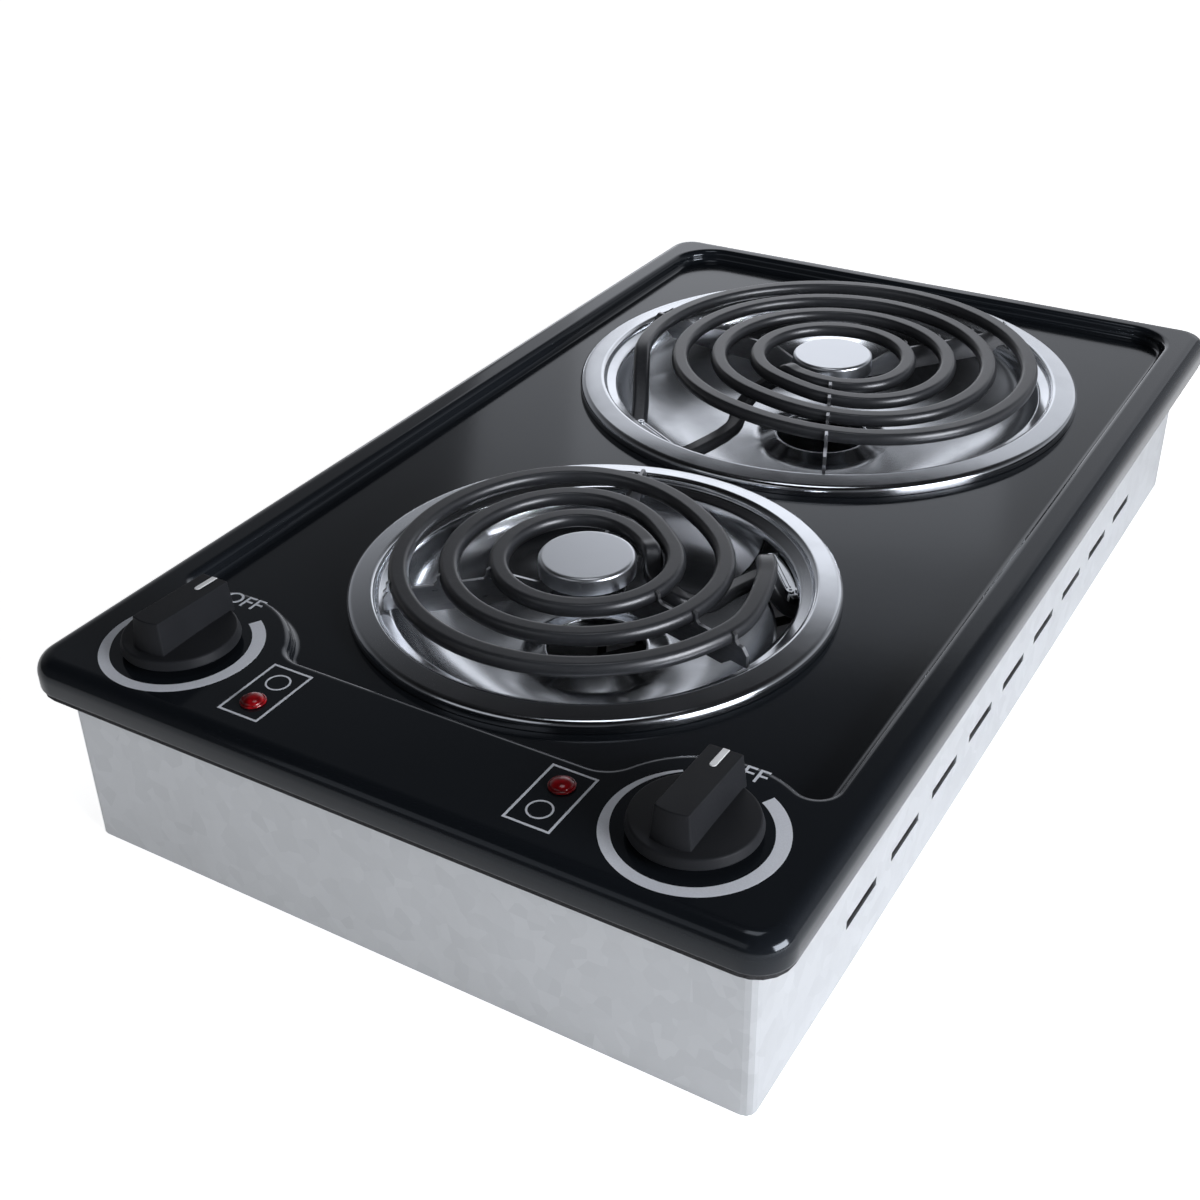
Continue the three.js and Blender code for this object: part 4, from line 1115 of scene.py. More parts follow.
class COOKTOP_OT_pans(bpy.types.Operator):
    """Drip pans with a rolled lip, a sloped face, a deep bowl and a raised drain collar"""

    bl_idname = "cooktop.pans"
    bl_label = "Drip pans"

    def execute(self, context):
        for burner, size in BURNER_SIZES.items():
            profile = thickened(pan_profile(size), PAN_SHEET)
            shell = revolve(profile, PAN_STEPS, *size["pan"])
            pan = make(f"drip_pan_shell_{burner}", shell, "chrome")
            start = wall_along_terminals(size) - SLOT_REACH
            length = SLOT_REACH + SLOT_PAST_WALL
            width = BLOCK_WIDTH + 2 * SLOT_GAP
            foot = WELL_HEIGHT - SLOT_TOP - SLOT_DEPTH
            slot = block(length, width, SLOT_DEPTH, start + length / 2, 0, foot)
            cutter = make("slot_cutter", slot.moved(element_place(size)), "chrome")
            smooth(bored(pan, cutter))
            belongs(pan, "cooktop", "chrome", f"drip_pan_{burner}")
        return {"FINISHED"}


# Heating elements


def catmull_points(points, parts):
    """Centripetal curve through points, each span divided into parts."""
    ends = [points[0] * 2 - points[1], *points, points[-1] * 2 - points[-2]]
    line = []
    for before, start, end, after in zip(ends, ends[1:], ends[2:], ends[3:]):
        first = (start - before).length ** 0.5
        span = (end - start).length ** 0.5
        last = (after - end).length ** 0.5
        leave = (start - before) / first - (end - before) / (first + span) + (end - start) / span
        reach = (end - start) / span - (after - start) / (span + last) + (after - end) / last
        leave *= span
        reach *= span
        square = end * 3 - start * 3 - leave * 2 - reach
        cube = start * 2 - end * 2 + leave + reach
        for i in range(parts):
            t = i / parts
            line.append(start + leave * t + square * t ** 2 + cube * t ** 3)
    return line + [points[-1]]


def winding_radius(size, clockwise):
    """Each turn keeps one radius, then crosses over to the next in the last part of its round."""
    radii = size["turn_radii"]
    turn = min(int(clockwise // 360), len(radii) - 2)
    within = clockwise - 360 * turn
    share = min(max((within - 360 + CROSSOVER_START) / CROSSOVER_START, 0), 1)
    share = share ** 3 * (share * (share * 6 - 15) + 10)
    return radii[turn] + (radii[turn + 1] - radii[turn]) * share


def coil_points(size):
    """The tube's middle line, from one leg through the winding to the other."""
    wall = wall_along_terminals(size)
    radii = size["turn_radii"]
    leg_end = wall + BLOCK_INSET - 4 * SEAT_GAP
    half = LEG_SPACING / 2
    leg = (leg_end, wall - LEG_INSET / 2, wall - LEG_INSET)
    places = [(x, -half, -LEG_DROP) for x in leg]
    places += [(x * radii[0], y * radii[0], z * LEG_DROP) for x, y, z in size["tail_shares"]]
    total = 360 * (len(radii) - 1)
    count = round((total - size["coil_start"]) / 360 * STEPS_PER_TURN)
    for i in range(count + 1):
        clockwise = size["coil_start"] + (total - size["coil_start"]) * i / count
        radius = winding_radius(size, clockwise)
        angle = -math.radians(clockwise)
        places.append((radius * math.cos(angle), radius * math.sin(angle), 0))
    places += [(x * radii[-1], y * radii[-1], z * LEG_DROP) for x, y, z in DIVE_SHARES]
    places += [(x, half, -LEG_DROP) for x in reversed(leg)]
    return catmull_points([Vector((x, y, z + COIL_PLANE)) for x, y, z in places], PARTS_PER_STEP)


def crossings(size, local_angle):
    """Radii at which the level winding passes over an arm."""
    angle = math.radians(local_angle)
    ahead = Vector((math.cos(angle), math.sin(angle), 0))
    aside = Vector((-ahead.y, ahead.x, 0))
    radii = []
    points = coil_points(size)
    for start, end in zip(points, points[1:]):
        near, far = start.dot(aside), end.dot(aside)
        if near * far <= 0 and near != far and min(start.z, end.z) > COIL_PLANE - 0.5:
            radius = start.lerp(end, near / (near - far)).dot(ahead)
            if radius > 0 and all(abs(radius - other) > 1 for other in radii):
                radii.append(radius)
    return sorted(radii)


TUBE_INPUTS = {
    "Geometry": "NodeSocketGeometry",
    "Radius": "NodeSocketFloat",
    "Top": "NodeSocketFloat",
    "Height": "NodeSocketFloat",
    "Edge": "NodeSocketFloat",
    "Sides": "NodeSocketInt",
    "Finish": "NodeSocketMaterial",
}
TUBE_UNDERSIDE = 0.6


def tube_tree():
    """Geometry nodes: a tube along a curve, with a flat top, soft edges and a rounder underside."""
    tree = bpy.data.node_groups.new("pressed_tube", "GeometryNodeTree")
    for name, kind in TUBE_INPUTS.items():
        tree.interface.new_socket(name, in_out="INPUT", socket_type=kind)
    tree.interface.new_socket("Geometry", in_out="OUTPUT", socket_type="NodeSocketGeometry")
    given = tree.nodes.new("NodeGroupInput")
    curve, radius, top, height, edge, sides, finish = (
        Field(tree, given.outputs[name]) for name in TUBE_INPUTS
    )
    group = Nodes(tree)
    section = group.node("GeometryNodeCurvePrimitiveCircle", Resolution=sides, Radius=radius)
    place = group.node("GeometryNodeInputPosition")
    across = group.node("ShaderNodeSeparateXYZ", place, output="X")
    rise = 0.0 - group.node("ShaderNodeSeparateXYZ", place, output="Y")
    half = height / 2
    pressed = rise.math("SMOOTH_MIN", rise, half, edge)
    pressed = rise.math("SMOOTH_MAX", pressed, 0.0 - half, radius * TUBE_UNDERSIDE)
    joined = group.node("ShaderNodeCombineXYZ", across, half - top - pressed)
    shaped = group.node("GeometryNodeSetPosition", Geometry=section, Position=joined)
    sweep = group.node("GeometryNodeCurveToMesh", curve, shaped, Fill_Caps=True)
    real = group.node("GeometryNodeRealizeInstances", sweep)
    painted = group.node("GeometryNodeSetMaterial", Geometry=real, Material=finish)
    group.node("NodeGroupOutput", painted)
    return tree


def tube(name, points, sizes):
    """The heating tube along points in millimetres, as a mesh."""
    curve = bpy.data.curves.new(name, "CURVE")
    curve.dimensions = "3D"
    curve.twist_mode = "Z_UP"
    spline = curve.splines.new("POLY")
    spline.points.add(len(points) - 1)
    for knot, point in zip(spline.points, points):
        knot.co = (*(point * MM), 1)
    carrier = linked(f"{name}_path", curve)
    tree = bpy.data.node_groups.get("pressed_tube") or tube_tree()
    modifier = carrier.modifiers.new("tube", "NODES")
    modifier.node_group = tree
    values = {
        "Radius": sizes.tube_radius,
        "Top": sizes.tube_top,
        "Height": sizes.tube_height,
        "Edge": sizes.tube_edge,
        "Sides": sizes.tube_sides,
        "Finish": finish_of("sheath"),
    }
    for item in tree.interface.items_tree:
        if item.in_out == "INPUT" and item.name in values:
            modifier[item.identifier] = values[item.name]
    return linked(name, unrolled(carrier))


def reach_to(size, radius, local_angle):
    """Where a line from the element's middle meets a circle round the pan's middle."""
    angle = math.radians(size["terminal_turn"] + local_angle)
    shift = Vector(size["element"]) - Vector(size["pan"])
    along = shift.x * math.cos(angle) + shift.y * math.sin(angle)
    return -along + math.sqrt(radius ** 2 - shift.length_squared + along ** 2)


def cradle_line(radius):
    """The hollow that a turn lies in, with a hooked tooth on its outer side."""
    half = ARM_CRADLE_WIDTH / 2
    depth = ARM_CRADLE_DROP - ARM_TOP_DROP
    tooth = radius + half
    line = [
        (tooth + TOOTH_WIDTH + TOOTH_SPREAD, -ARM_TOP_DROP),
        (tooth + TOOTH_WIDTH, -ARM_TOP_DROP + TOOTH_SPREAD),
        (tooth + TOOTH_WIDTH * 0.8, TOOTH_RISE * 0.7),
        (tooth - TOOTH_HOOK, TOOTH_RISE),
        (tooth - TOOTH_HOOK * 0.4, TOOTH_RISE * 0.55),
        (tooth, -ARM_TOP_DROP),
    ]
    for i in range(1, CRADLE_STEPS):
        angle = math.pi * i / CRADLE_STEPS
        z = -ARM_TOP_DROP - depth * math.sin(angle)
        line.append((radius + half * math.cos(angle), z))
    return [*line, (radius - half, -ARM_TOP_DROP)]


def arm_shape(size, local_angle):
    """An upright arm: a foot on the pan's ledge, a cradle under each turn, a tooth beside it."""
    tip = reach_to(size, wall_radius(size) - ARM_TIP_GAP, local_angle)
    foot = LEDGE_HEIGHT + SEAT_GAP - COIL_RISE
    line = [
        (HUB_RADIUS / 2, -ARM_DEPTH),
        (tip - FOOT_LENGTH - 2 * ARM_TIP_GAP, -ARM_DEPTH),
        (tip - FOOT_LENGTH, foot),
        (tip, foot),
        (tip, foot + ARM_NECK_DROP),
        (tip - ARM_TIP_GAP, -ARM_TOP_DROP),
    ]
    for radius in reversed(crossings(size, local_angle)):
        line += cradle_line(radius)
    neck = MEDALLION_RADIUS + SEAT_GAP
    low = -ARM_TOP_DROP - ARM_NECK_DROP
    line += [(neck, low), (HUB_RADIUS / 2, low)]
    return upright_plate([(x, z + COIL_PLANE) for x, z in line], ARM_PLATE)


def shield_shape(size):
    """The bright folded plate that roofs the two legs, just inside the pan's wall."""
    back = wall_along_terminals(size) - SHIELD_BACK
    front = back - SHIELD_DEPTH
    top = WELL_HEIGHT - SHIELD_DROP
    line = [
        (front, top - SHIELD_FOLD),
        (front, top - SHIELD_CORNER),
        (front + SHIELD_CORNER, top),
        (back - SHIELD_CORNER, top),
        (back, top - SHIELD_CORNER),
        (back, top - SHIELD_FOLD),
    ]
    return upright_plate(thickened(line, SHIELD_SHEET), SHIELD_WIDTH)


def shield_trim(size):
    """The shield's pressed ribs, the two eyes at one end and the tab at the other."""
    front = wall_along_terminals(size) - SHIELD_BACK - SHIELD_DEPTH
    top = WELL_HEIGHT - SHIELD_DROP - SHIELD_TRIM_SINK
    end = SHIELD_WIDTH / 2
    length = SHIELD_WIDTH - RIB_SHORTER
    parts = [
        block(RIB_WIDTH, length, RIB_RISE, front + x, RIB_SHIFT, top) for x in SHIELD_RIBS
    ]
    parts.append(block(*SHIELD_TAB, front + SHIELD_DEPTH - TAB_FROM_BACK, end - TAB_FROM_END, top))
    ring = [(EYE_HOLE, 0), (EYE_RADIUS, 0), (EYE_RADIUS, EYE_RISE), (EYE_HOLE, EYE_RISE)]
    for x in SHIELD_EYES:
        place = Matrix.Translation((front + x, EYE_FROM_END - end, top))
        parts.append(revolve(ring, EYE_STEPS).moved(place))
    return parts


def medallion_profile():
    top = COIL_PLANE + MEDALLION_RISE
    bottom = COIL_PLANE - ARM_DEPTH + HUB_PLATE + SEAT_GAP
    rim = MEDALLION_RADIUS - MEDALLION_EDGE
    line = [
        (0, bottom),
        (MEDALLION_POST, bottom),
        (MEDALLION_POST, top - MEDALLION_SHEET),
        (rim, top - MEDALLION_SHEET),
        (MEDALLION_RADIUS - MEDALLION_SHEET, top - MEDALLION_EDGE),
        (MEDALLION_RADIUS - MEDALLION_SHEET, top - MEDALLION_SKIRT),
        (MEDALLION_RADIUS, top - MEDALLION_SKIRT),
    ]
    for sine, cosine in quarter(8):
        line.append((rim + MEDALLION_EDGE * cosine, top - MEDALLION_EDGE * (1 - sine)))
    return line + [(rim - EASE, top), (0, top)]


class COOKTOP_OT_elements(bpy.types.Operator):
    """Coil elements: the sheathed tubes, the supports that cradle them and the centre caps"""

    bl_idname = "cooktop.elements"
    bl_label = "Coil elements"

    def execute(self, context):
        sizes = context.scene.cooktop_sizes
        for burner, size in BURNER_SIZES.items():
            body = f"element_{burner}"
            place = element_place(size)
            middle = [place @ point for point in coil_points(size)]
            coil = tube(f"heating_tube_{burner}", middle, sizes)
            smooth(coil, SOFT_ANGLE)
            belongs(coil, body, "sheath", f"coil_{burner}")

            low = COIL_PLANE - ARM_DEPTH
            high = low + HUB_PLATE
            hub = eased([(0, low), (HUB_RADIUS, low), (HUB_RADIUS, high), (0, high)], HUB_ROUND)
            support = make(f"tube_support_{burner}", revolve(hub, HUB_STEPS).moved(place), "steel")
            for base in ARM_TURNS:
                local = base + size["arm_turn"]
                turned = place @ Matrix.Rotation(math.radians(local), 4, "Z")
                arm = make("arm", arm_shape(size, local).moved(turned), "steel")
                bored(support, arm, "UNION")
            bevelled(support, SUPPORT_BEVEL, 2)
            crisp(support)
            belongs(support, body, "steel", f"coil_support_{burner}")

            dome = revolve(medallion_profile(), MEDALLION_STEPS).moved(place)
            cap = make(f"centre_cap_{burner}", dome, "cap")
            belongs(cap, body, "chrome", f"medallion_{burner}")

            shield = make(f"terminal_shield_{burner}", shield_shape(size).moved(place), "chrome")
            bevelled(shield, SHIELD_BEVEL, 2)
            for part in shield_trim(size):
                bored(shield, make("trim", part.moved(place), "chrome"), "UNION")
            crisp(shield)
            belongs(shield, body, "chrome")

            dress("steel", f"terminal_clamp_{burner}")
            dress("brass", f"terminal_pin_{burner}_a", f"terminal_pin_{burner}_b")
            dress("ceramic", f"receptacle_{burner}")
            dress("galvanised", f"receptacle_bracket_{burner}")
        return {"FINISHED"}


# Controls


def knob_levels():
    base = KNOB_LIFT + SKIRT_WALL
    return base, base + BAR_RISE, base + BAR_RISE - BAR_FALL


def bar_outline(half, front, rear):
    """The grip from above: straight sides, a gently rounded front end and a straight rear end."""
    spread = math.asin(half / front)
    middle = -math.pi / 2
    ends = arc(0, 0, front, middle - spread, middle + spread, BAR_END_STEPS)
    return [*ends, Vector((half, rear)), Vector((-half, rear))]


def knob_bar():
    base, front, rear = knob_levels()
    low = base - KNOB_WALL / 2
    foot = bar_outline(BAR_BASE_WIDTH / 2, BAR_FRONT, BAR_REAR)
    top = bar_outline(BAR_WIDTH / 2, BAR_FRONT - BAR_DRAFT, BAR_REAR - KNOB_WALL / 4)
    fall = (front - rear) / (BAR_FRONT + BAR_REAR)
    crown = [(point.x, point.y, front - fall * (point.y + BAR_FRONT)) for point in top]
    return loft([raised(foot, low), crown])


def knob_skirt():
    base = knob_levels()[0]
    line = [(0, KNOB_LIFT + KNOB_WALL), (SKIRT_RADIUS - KNOB_WALL, KNOB_LIFT + KNOB_WALL)]
    line += eased(
        [
            (SKIRT_RADIUS - KNOB_WALL, KNOB_LIFT),
            (SKIRT_RADIUS, KNOB_LIFT),
            (SKIRT_RADIUS - SKIRT_DRAFT, base),
            (0, base + KNOB_CROWN),
        ],
        SKIRT_ROUND,
        6,
    )
    return revolve(line, KNOB_STEPS)


def pointer_outline(width, length):
    """From above: round at the front end and square at the rear, its middle at the origin."""
    half = width / 2
    tip = arc(0, half - length / 2, half, math.pi, math.tau, POINTER_STEPS)
    return [*tip, Vector((half, length / 2)), Vector((-half, length / 2))]


class COOKTOP_OT_knobs(bpy.types.Operator):
    """Knobs with a round skirt, a tapered grip and a white insert that points at the mark"""

    bl_idname = "cooktop.knobs"
    bl_label = "Knobs and shafts"

    def execute(self, context):
        rear = knob_levels()[2]
        for side, sign in SIDES.items():
            body = f"control_{side}"
            place = Matrix.Translation((sign * KNOB_X, KNOB_Y, RIM_HEIGHT))
            knob = make(f"moulded_knob_{side}", knob_skirt().moved(place), "plastic")
            bar = make("bar", knob_bar().moved(place), "plastic")
            bevelled(bar, BAR_BEVEL, 3)
            bored(knob, bar, "UNION")
            pointer_y = BAR_REAR - KNOB_WALL / 4 - POINTER_LENGTH / 2
            slope = Matrix.Rotation(math.atan2(-BAR_FALL, BAR_FRONT + BAR_REAR), 4, "X")
            lift = Matrix.Translation((0, pointer_y, rear + POINTER_RISE))
            gap = 2 * POINTER_GAP
            outline = pointer_outline(POINTER_WIDTH + gap, POINTER_LENGTH + gap)
            outline[-2:] = [point + Vector((0, KNOB_WALL)) for point in outline[-2:]]
            groove = loft([raised(outline, z) for z in (-POINTER_DEPTH, POINTER_DEPTH)])
            bored(knob, make("groove", groove.moved(place @ lift @ slope), "plastic"))
            crisp(knob)
            belongs(knob, body, "plastic", f"knob_{side}")

            outline = pointer_outline(POINTER_WIDTH, POINTER_LENGTH)
            insert = loft([raised(outline, z) for z in (POINTER_GAP - POINTER_DEPTH, 0)])
            pointer = make(f"pointer_insert_{side}", insert.moved(place @ lift @ slope), "white")
            bevelled(pointer, POINTER_BEVEL, 3)
            crisp(pointer)
            belongs(pointer, body, "white", f"knob_pointer_{side}")

            screws = [f"switch_screw_{side}_{end}" for end in "ab"]
            dress("steel", f"control_shaft_{side}", *screws)
            dress("brass", f"plunger_sleeve_{side}")
            dress("phenolic", f"heat_switch_{side}")
        return {"FINISHED"}


# Pilot lamps


def lens_profile():
    base = SEAT_GAP
    line = [(0, base), (LENS_RIM_RADIUS, base)]
    top = base + LENS_RIM_HEIGHT
    for sine, cosine in quarter(4):
        fall = LENS_RIM_ROUND * (1 - sine)
        line.append((LENS_RIM_RADIUS - LENS_RIM_ROUND * (1 - cosine), top - fall))
    line.append((LENS_RADIUS + LENS_SINK, top - LENS_GROOVE))
    foot = top - LENS_SINK
    rise = LENS_RISE - SEAT_GAP + LENS_SINK
    for sine, cosine in quarter(10)[:-1]:
        line.append((LENS_RADIUS * cosine, foot + rise * sine))
    return line + [(0, foot + rise)]


class COOKTOP_OT_lamps(bpy.types.Operator):
    """Pilot lamps with domed red lenses, their bodies and nuts"""

    bl_idname = "cooktop.lamps"
    bl_label = "Pilot lamps"

    def execute(self, context):
        for side, sign in SIDES.items():
            place = Matrix.Translation((*lamp_place(sign, sign), RIM_HEIGHT))
            dome = revolve(lens_profile(), LENS_STEPS).moved(place)
            lens = make(f"lamp_lens_{side}", dome, "red", SOFT_ANGLE)
            belongs(lens, "cooktop", "red", f"pilot_lens_{side}")
            dress("phenolic", f"pilot_lamp_{side}")
            dress("steel", f"pilot_nut_{side}")
        return {"FINISHED"}


# Printed marks


HEAT_MARK_OUTER = 30.2
HEAT_MARK_START = 61
HEAT_MARK_SWEEP = -296
HEAT_MARK_STEPS = 120
HEAT_MARK_SHARES = ((0, 0.84), (0.12, 0.83), (0.25, 0.838), (0.4, 0.858), (0.7, 0.868), (1, 0.968))
OFF_HEIGHT = 7
OFF_DISTANCE = 30.4
LAMP_BOX = (8.85, 15.3)
LAMP_BOX_LINE = 0.9
RING_MARK = (4.65, 3.95)
RING_MARK_STEPS = 64
PRINT_GAP = 0.01


def between(pairs, share):
    """The value at a share of the way through (share, value) pairs."""
    for (start, low), (end, high) in zip(pairs, pairs[1:]):
        if share <= end:
            return low + (high - low) * (share - start) / (end - start)
    return pairs[-1][1]


def strip_mark(outer, inner, closed, thickness):
    """A thin closed band between two lines on the control strip."""
    low = RIM_HEIGHT + PRINT_GAP
    high = low + thickness / MM
    shape = Shape()
    loops = [
        shape.ring(raised(line, z))
        for line, z in ((outer, low), (outer, high), (inner, high), (inner, low))
    ]
    for first, second in zip(loops, loops[1:] + loops[:1]):
        shape.bridge(first, second, closed)
    if not closed:
        shape.cap([loop[0] for loop in loops])
        shape.cap([loop[-1] for loop in loops], turned=True)
    return shape


def heat_mark(x, y, thickness):
    lines = ([], [])
    for i in range(HEAT_MARK_STEPS + 1):
        share = i / HEAT_MARK_STEPS
        angle = math.radians(HEAT_MARK_START + HEAT_MARK_SWEEP * share)
        ahead = Vector((math.cos(angle), math.sin(angle)))
        inner = HEAT_MARK_OUTER * between(HEAT_MARK_SHARES, share)
        for line, radius in zip(lines, (HEAT_MARK_OUTER, inner)):
            line.append(Vector((x, y)) + ahead * radius)
    return strip_mark(*lines, False, thickness)


def word_mark(name, word, height, x, y, thickness):
    """A word of the given height with the middle of its foot at x, y."""
    font = bpy.data.curves.new(name, "FONT")
    font.body = word
    font.extrude = thickness / 2
    font.resolution_u = 6
    mesh = unrolled(linked(f"{name}_text", font))
    tall = max(vertex.co.y for vertex in mesh.vertices)
    wide = [vertex.co.x for vertex in mesh.vertices]
    scale = height * MM / tall
    z = (RIM_HEIGHT + PRINT_GAP) * MM + thickness / 2
    place = Matrix.Translation((x * MM, y * MM, z))
    centre = Matrix.Translation((-(min(wide) + max(wide)) / 2, 0, 0))
    mesh.transform(place @ Matrix.Diagonal((scale, scale, 1, 1)) @ centre)
    mesh.materials.clear()
    mesh.materials.append(finish_of("marks"))
    return linked(name, cleaned(mesh))


class COOKTOP_OT_marks(bpy.types.Operator):
    """Printed marks: heat bands and OFF round the knobs, lamp frames and burner rings"""

    bl_idname = "cooktop.marks"
    bl_label = "Printed marks"

    def execute(self, context):
        thickness = context.scene.cooktop_sizes.print_thickness
        half_width, half_depth = LAMP_BOX
        for side, sign in SIDES.items():
            x = sign * KNOB_X
            band = heat_mark(x, KNOB_Y, thickness)
            belongs(make(f"heat_mark_{side}", band, "marks"), "cooktop", "white")
            word_y = KNOB_Y + OFF_DISTANCE
            word = word_mark(f"off_mark_{side}", "OFF", OFF_HEIGHT, x, word_y, thickness)
            belongs(word, "cooktop", "white")
            middle = Vector((sign * LAMP_X, LAMP_Y))
            outer = [middle + Vector((i * half_width, j * half_depth)) for i, j in CORNERS]
            frame_mark = strip_mark(outer, inset(outer, LAMP_BOX_LINE), True, thickness)
            belongs(make(f"lamp_frame_mark_{side}", frame_mark, "marks"), "cooktop", "white")
            place = lamp_place(sign, -sign)
            outer, inner = (
                arc(*place, radius, 0, math.tau, RING_MARK_STEPS)[:-1] for radius in RING_MARK
            )
            ring_mark = strip_mark(outer, inner, True, thickness)
            belongs(make(f"burner_ring_mark_{side}", ring_mark, "marks"), "cooktop", "white")
        return {"FINISHED"}


# Housing and wiring


class COOKTOP_OT_housing(bpy.types.Operator):
    """Burner box with its nuts, the gasket under the rim and the supply inlet"""

    bl_idname = "cooktop.housing"
    bl_label = "Housing"

    def execute(self, context):
        dress("galvanised", "burner_box")
        dress("steel", "inlet_bushing", *(f"box_nut_{number}" for number in range(1, 5)))
        dress("foam", "flange_gasket")
        dress("ceramic", "supply_terminal_block")
        return {"FINISHED"}


class COOKTOP_OT_wiring(bpy.types.Operator):
    """Braided leads between the terminal block, the switches and the receptacles"""

    bl_idname = "cooktop.wiring"
    bl_label = "Leads"

    def execute(self, context):
        leads = ("front_a", "front_b", "rear_a", "rear_b", "supply_left", "supply_right")
        dress("sleeving", *(f"lead_{lead}" for lead in leads))
        return {"FINISHED"}


# Stage


CAMERA_PLACE = (282.6, -559.8, 410.2)
CAMERA_TURN = 31.404
CAMERA_FALL = 32.157
CAMERA_ROLL = -1.214
SENSOR_WIDTH = 36
FLOOR_REACH = 6000
FLOOR_DROP = 0.2
FLOOR_GLOW = 0.85
FLOOR_MIRROR_GLOW = 0.35
DOME_LEVELS = ((0.03, 0.5), (0.34, 0.4), (0.5, 0.2), (0.62, 0.08), (0.77, 0.02), (1.0, 0.02))
DOME_FRONT = 0.2
DOME_FRONT_STEP = (0.3, 1.0)
DOME_HORIZON_STEP = (0.0, 0.04)
LAMPS = (
    ("rear_window", (-310, 1490, 700), 1550, 800, 0.6),
    ("rear_window_middle", (-560, 1340, 640), 600, 540, 0.42),
    ("rear_strip", (-1100, 1650, 230), 1300, 260, 1.4),
    ("right_window", (1380, -330, 420), 800, 540, 18.0),
    ("front_window", (-350, -1400, 800), 1200, 560, 0.5),
    ("high_window", (0, -40, 1400), 420, 420, 2.5),
)
LIGHT_TINT = (0.96, 0.985, 1.05)


def camera_matrix():
    turn, fall, roll = (math.radians(value) for value in (CAMERA_TURN, CAMERA_FALL, CAMERA_ROLL))
    ahead = Vector((
        -math.sin(turn) * math.cos(fall),
        math.cos(turn) * math.cos(fall),
        -math.sin(fall),
    ))
    level = Vector((math.cos(turn), math.sin(turn), 0))
    upright = level.cross(ahead)
    right = level * math.cos(roll) + upright * math.sin(roll)
    up = upright * math.cos(roll) - level * math.sin(roll)
    matrix = Matrix((right, up, -ahead)).transposed().to_4x4()
    matrix.translation = Vector(CAMERA_PLACE) * MM
    return matrix


def floor_material():
    """Pale and rough; a faint glow towards the camera, metal and glass lifts it to white."""
    floor = Finish("pale_floor", (0.9, 0.9, 0.9), 0.9, Specular_IOR_Level=0.0)
    seen, glossy, transmitted = (
        floor.node("ShaderNodeLightPath", output=f"Is {kind} Ray")
        for kind in ("Camera", "Glossy", "Transmission")
    )
    mirrored = glossy.math("MAXIMUM", glossy, transmitted)
    level = seen * FLOOR_GLOW + mirrored * FLOOR_MIRROR_GLOW
    glow = floor.node("ShaderNodeEmission", Strength=level)
    pale = Field(floor.tree, floor.surface.outputs["BSDF"])
    floor.put(floor.node("ShaderNodeAddShader", pale, glow), floor.output.inputs["Surface"])
    return floor.material


def studio_world():
    """A soft dome: pale at the horizon, dark overhead, dimmer in front, and seen as plain white."""
    world = bpy.data.worlds.new("studio")
    world.use_nodes = True
    world.node_tree.nodes.clear()
    sky = Nodes(world.node_tree)
    at = sky.node("ShaderNodeTexCoord", output="Generated")
    depth, height = (sky.node("ShaderNodeSeparateXYZ", at, output=axis) for axis in "YZ")
    ramp = sky.tree.nodes.new("ShaderNodeValToRGB")
    stops = ramp.color_ramp.elements
    stops.remove(stops[1])
    stops[0].color = (1, 1, 1, 1)
    for position, level in DOME_LEVELS:
        stop = stops.new(position)
        stop.color = (*shade(LIGHT_TINT, level), 1)
    sky.put(height, ramp.inputs["Fac"])
    ahead = depth.above(*DOME_FRONT_STEP)
    horizon = 1.0 - height.above(*DOME_HORIZON_STEP)
    strength = ahead.math("MAXIMUM", DOME_FRONT + ahead * (1 - DOME_FRONT), horizon)
    dome = sky.node("ShaderNodeBackground", Field(sky.tree, ramp.outputs["Color"]), strength)
    backdrop = sky.node("ShaderNodeBackground", (1, 1, 1, 1))
    seen = sky.node("ShaderNodeLightPath", output="Is Camera Ray")
    sky.node("ShaderNodeOutputWorld", sky.node("ShaderNodeMixShader", seen, dome, backdrop))
    return world


def window(name, place, width, height, radiance):
    light = bpy.data.lights.new(name, "AREA")
    light.shape = "RECTANGLE"
    light.size = width * MM
    light.size_y = height * MM
    light.energy = math.pi * radiance * light.size * light.size_y
    light.color = LIGHT_TINT
    obj = linked(name, light)
    obj.location = Vector(place) * MM
    obj.rotation_euler = (-obj.location).to_track_quat("-Z", "Y").to_euler()


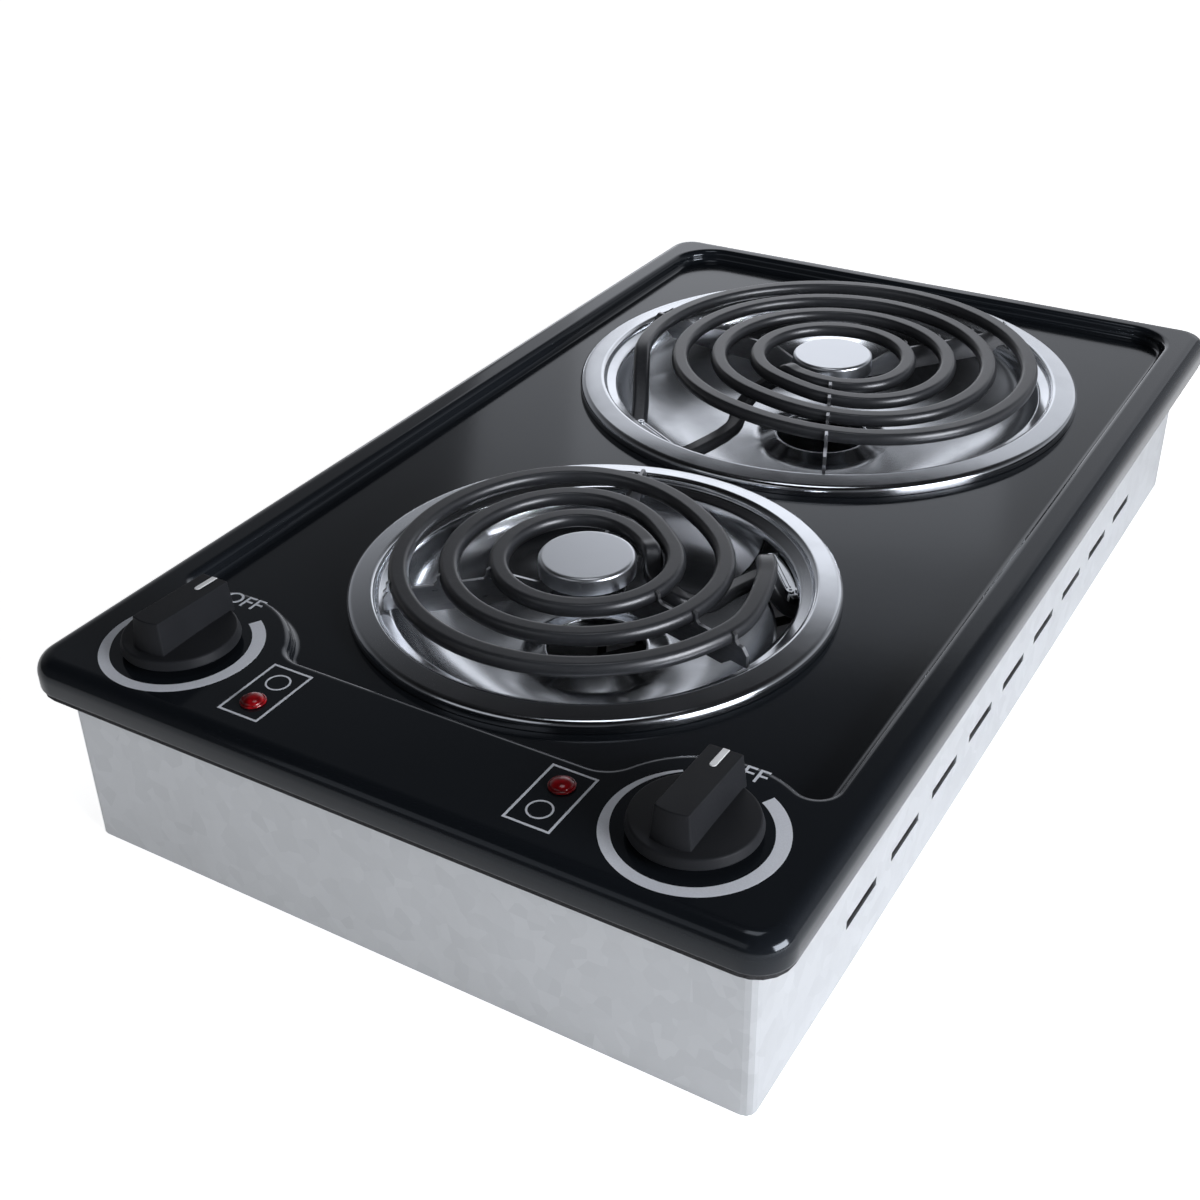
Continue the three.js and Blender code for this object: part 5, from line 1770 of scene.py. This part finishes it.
class COOKTOP_OT_stage(bpy.types.Operator):
    """Pale floor, soft windows of light and the camera"""

    bl_idname = "cooktop.stage"
    bl_label = "Stage and camera"

    def execute(self, context):
        scene = context.scene
        mesh = bpy.data.meshes.new("floor")
        points = [(i * FLOOR_REACH * MM, j * FLOOR_REACH * MM, 0) for i, j in CORNERS]
        mesh.from_pydata(points, [], [(0, 1, 2, 3)])
        mesh.materials.append(floor_material())
        plane = linked("floor", mesh)
        plane.location.z = -FLOOR_DROP * MM

        scene.world = studio_world()
        for lamp in LAMPS:
            window(*lamp)

        lens = bpy.data.cameras.new("camera")
        lens.lens = scene.cooktop_sizes.focal_length
        lens.sensor_width = SENSOR_WIDTH
        lens.clip_start = 0.01
        camera = linked("camera", lens)
        camera.matrix_world = camera_matrix()
        scene.camera = camera
        scene.view_settings.view_transform = "Standard"
        return {"FINISHED"}


class COOKTOP_PT_pieces(bpy.types.Panel):
    """Lists the pieces of the cooktop"""

    bl_idname = "COOKTOP_PT_pieces"
    bl_label = "Coil cooktop"
    bl_space_type = "VIEW_3D"
    bl_region_type = "UI"
    bl_category = "Cooktop"

    def draw(self, context):
        column = self.layout.column()
        for group in (context.scene.cooktop_sizes, context.scene.cooktop_colors):
            for key in group.bl_rna.properties.keys():
                if key not in {"rna_type", "name"}:
                    column.prop(group, key)
        for operator in OPERATORS:
            column.operator(operator.bl_idname)


OPERATORS = (
    COOKTOP_OT_panel,
    COOKTOP_OT_pans,
    COOKTOP_OT_elements,
    COOKTOP_OT_knobs,
    COOKTOP_OT_lamps,
    COOKTOP_OT_marks,
    COOKTOP_OT_housing,
    COOKTOP_OT_wiring,
    COOKTOP_OT_stage,
)
CLASSES = (CooktopSizes, CooktopColors, *OPERATORS, COOKTOP_PT_pieces)


def register():
    for cls in CLASSES:
        bpy.utils.register_class(cls)
    bpy.types.Scene.cooktop_sizes = bpy.props.PointerProperty(type=CooktopSizes)
    bpy.types.Scene.cooktop_colors = bpy.props.PointerProperty(type=CooktopColors)


def unregister():
    del bpy.types.Scene.cooktop_colors
    del bpy.types.Scene.cooktop_sizes
    for cls in reversed(CLASSES):
        bpy.utils.unregister_class(cls)


def main():
    register()
    for operator in OPERATORS:
        group, name = operator.bl_idname.split(".")
        getattr(getattr(bpy.ops, group), name)()


if __name__ == "__main__":
    main()
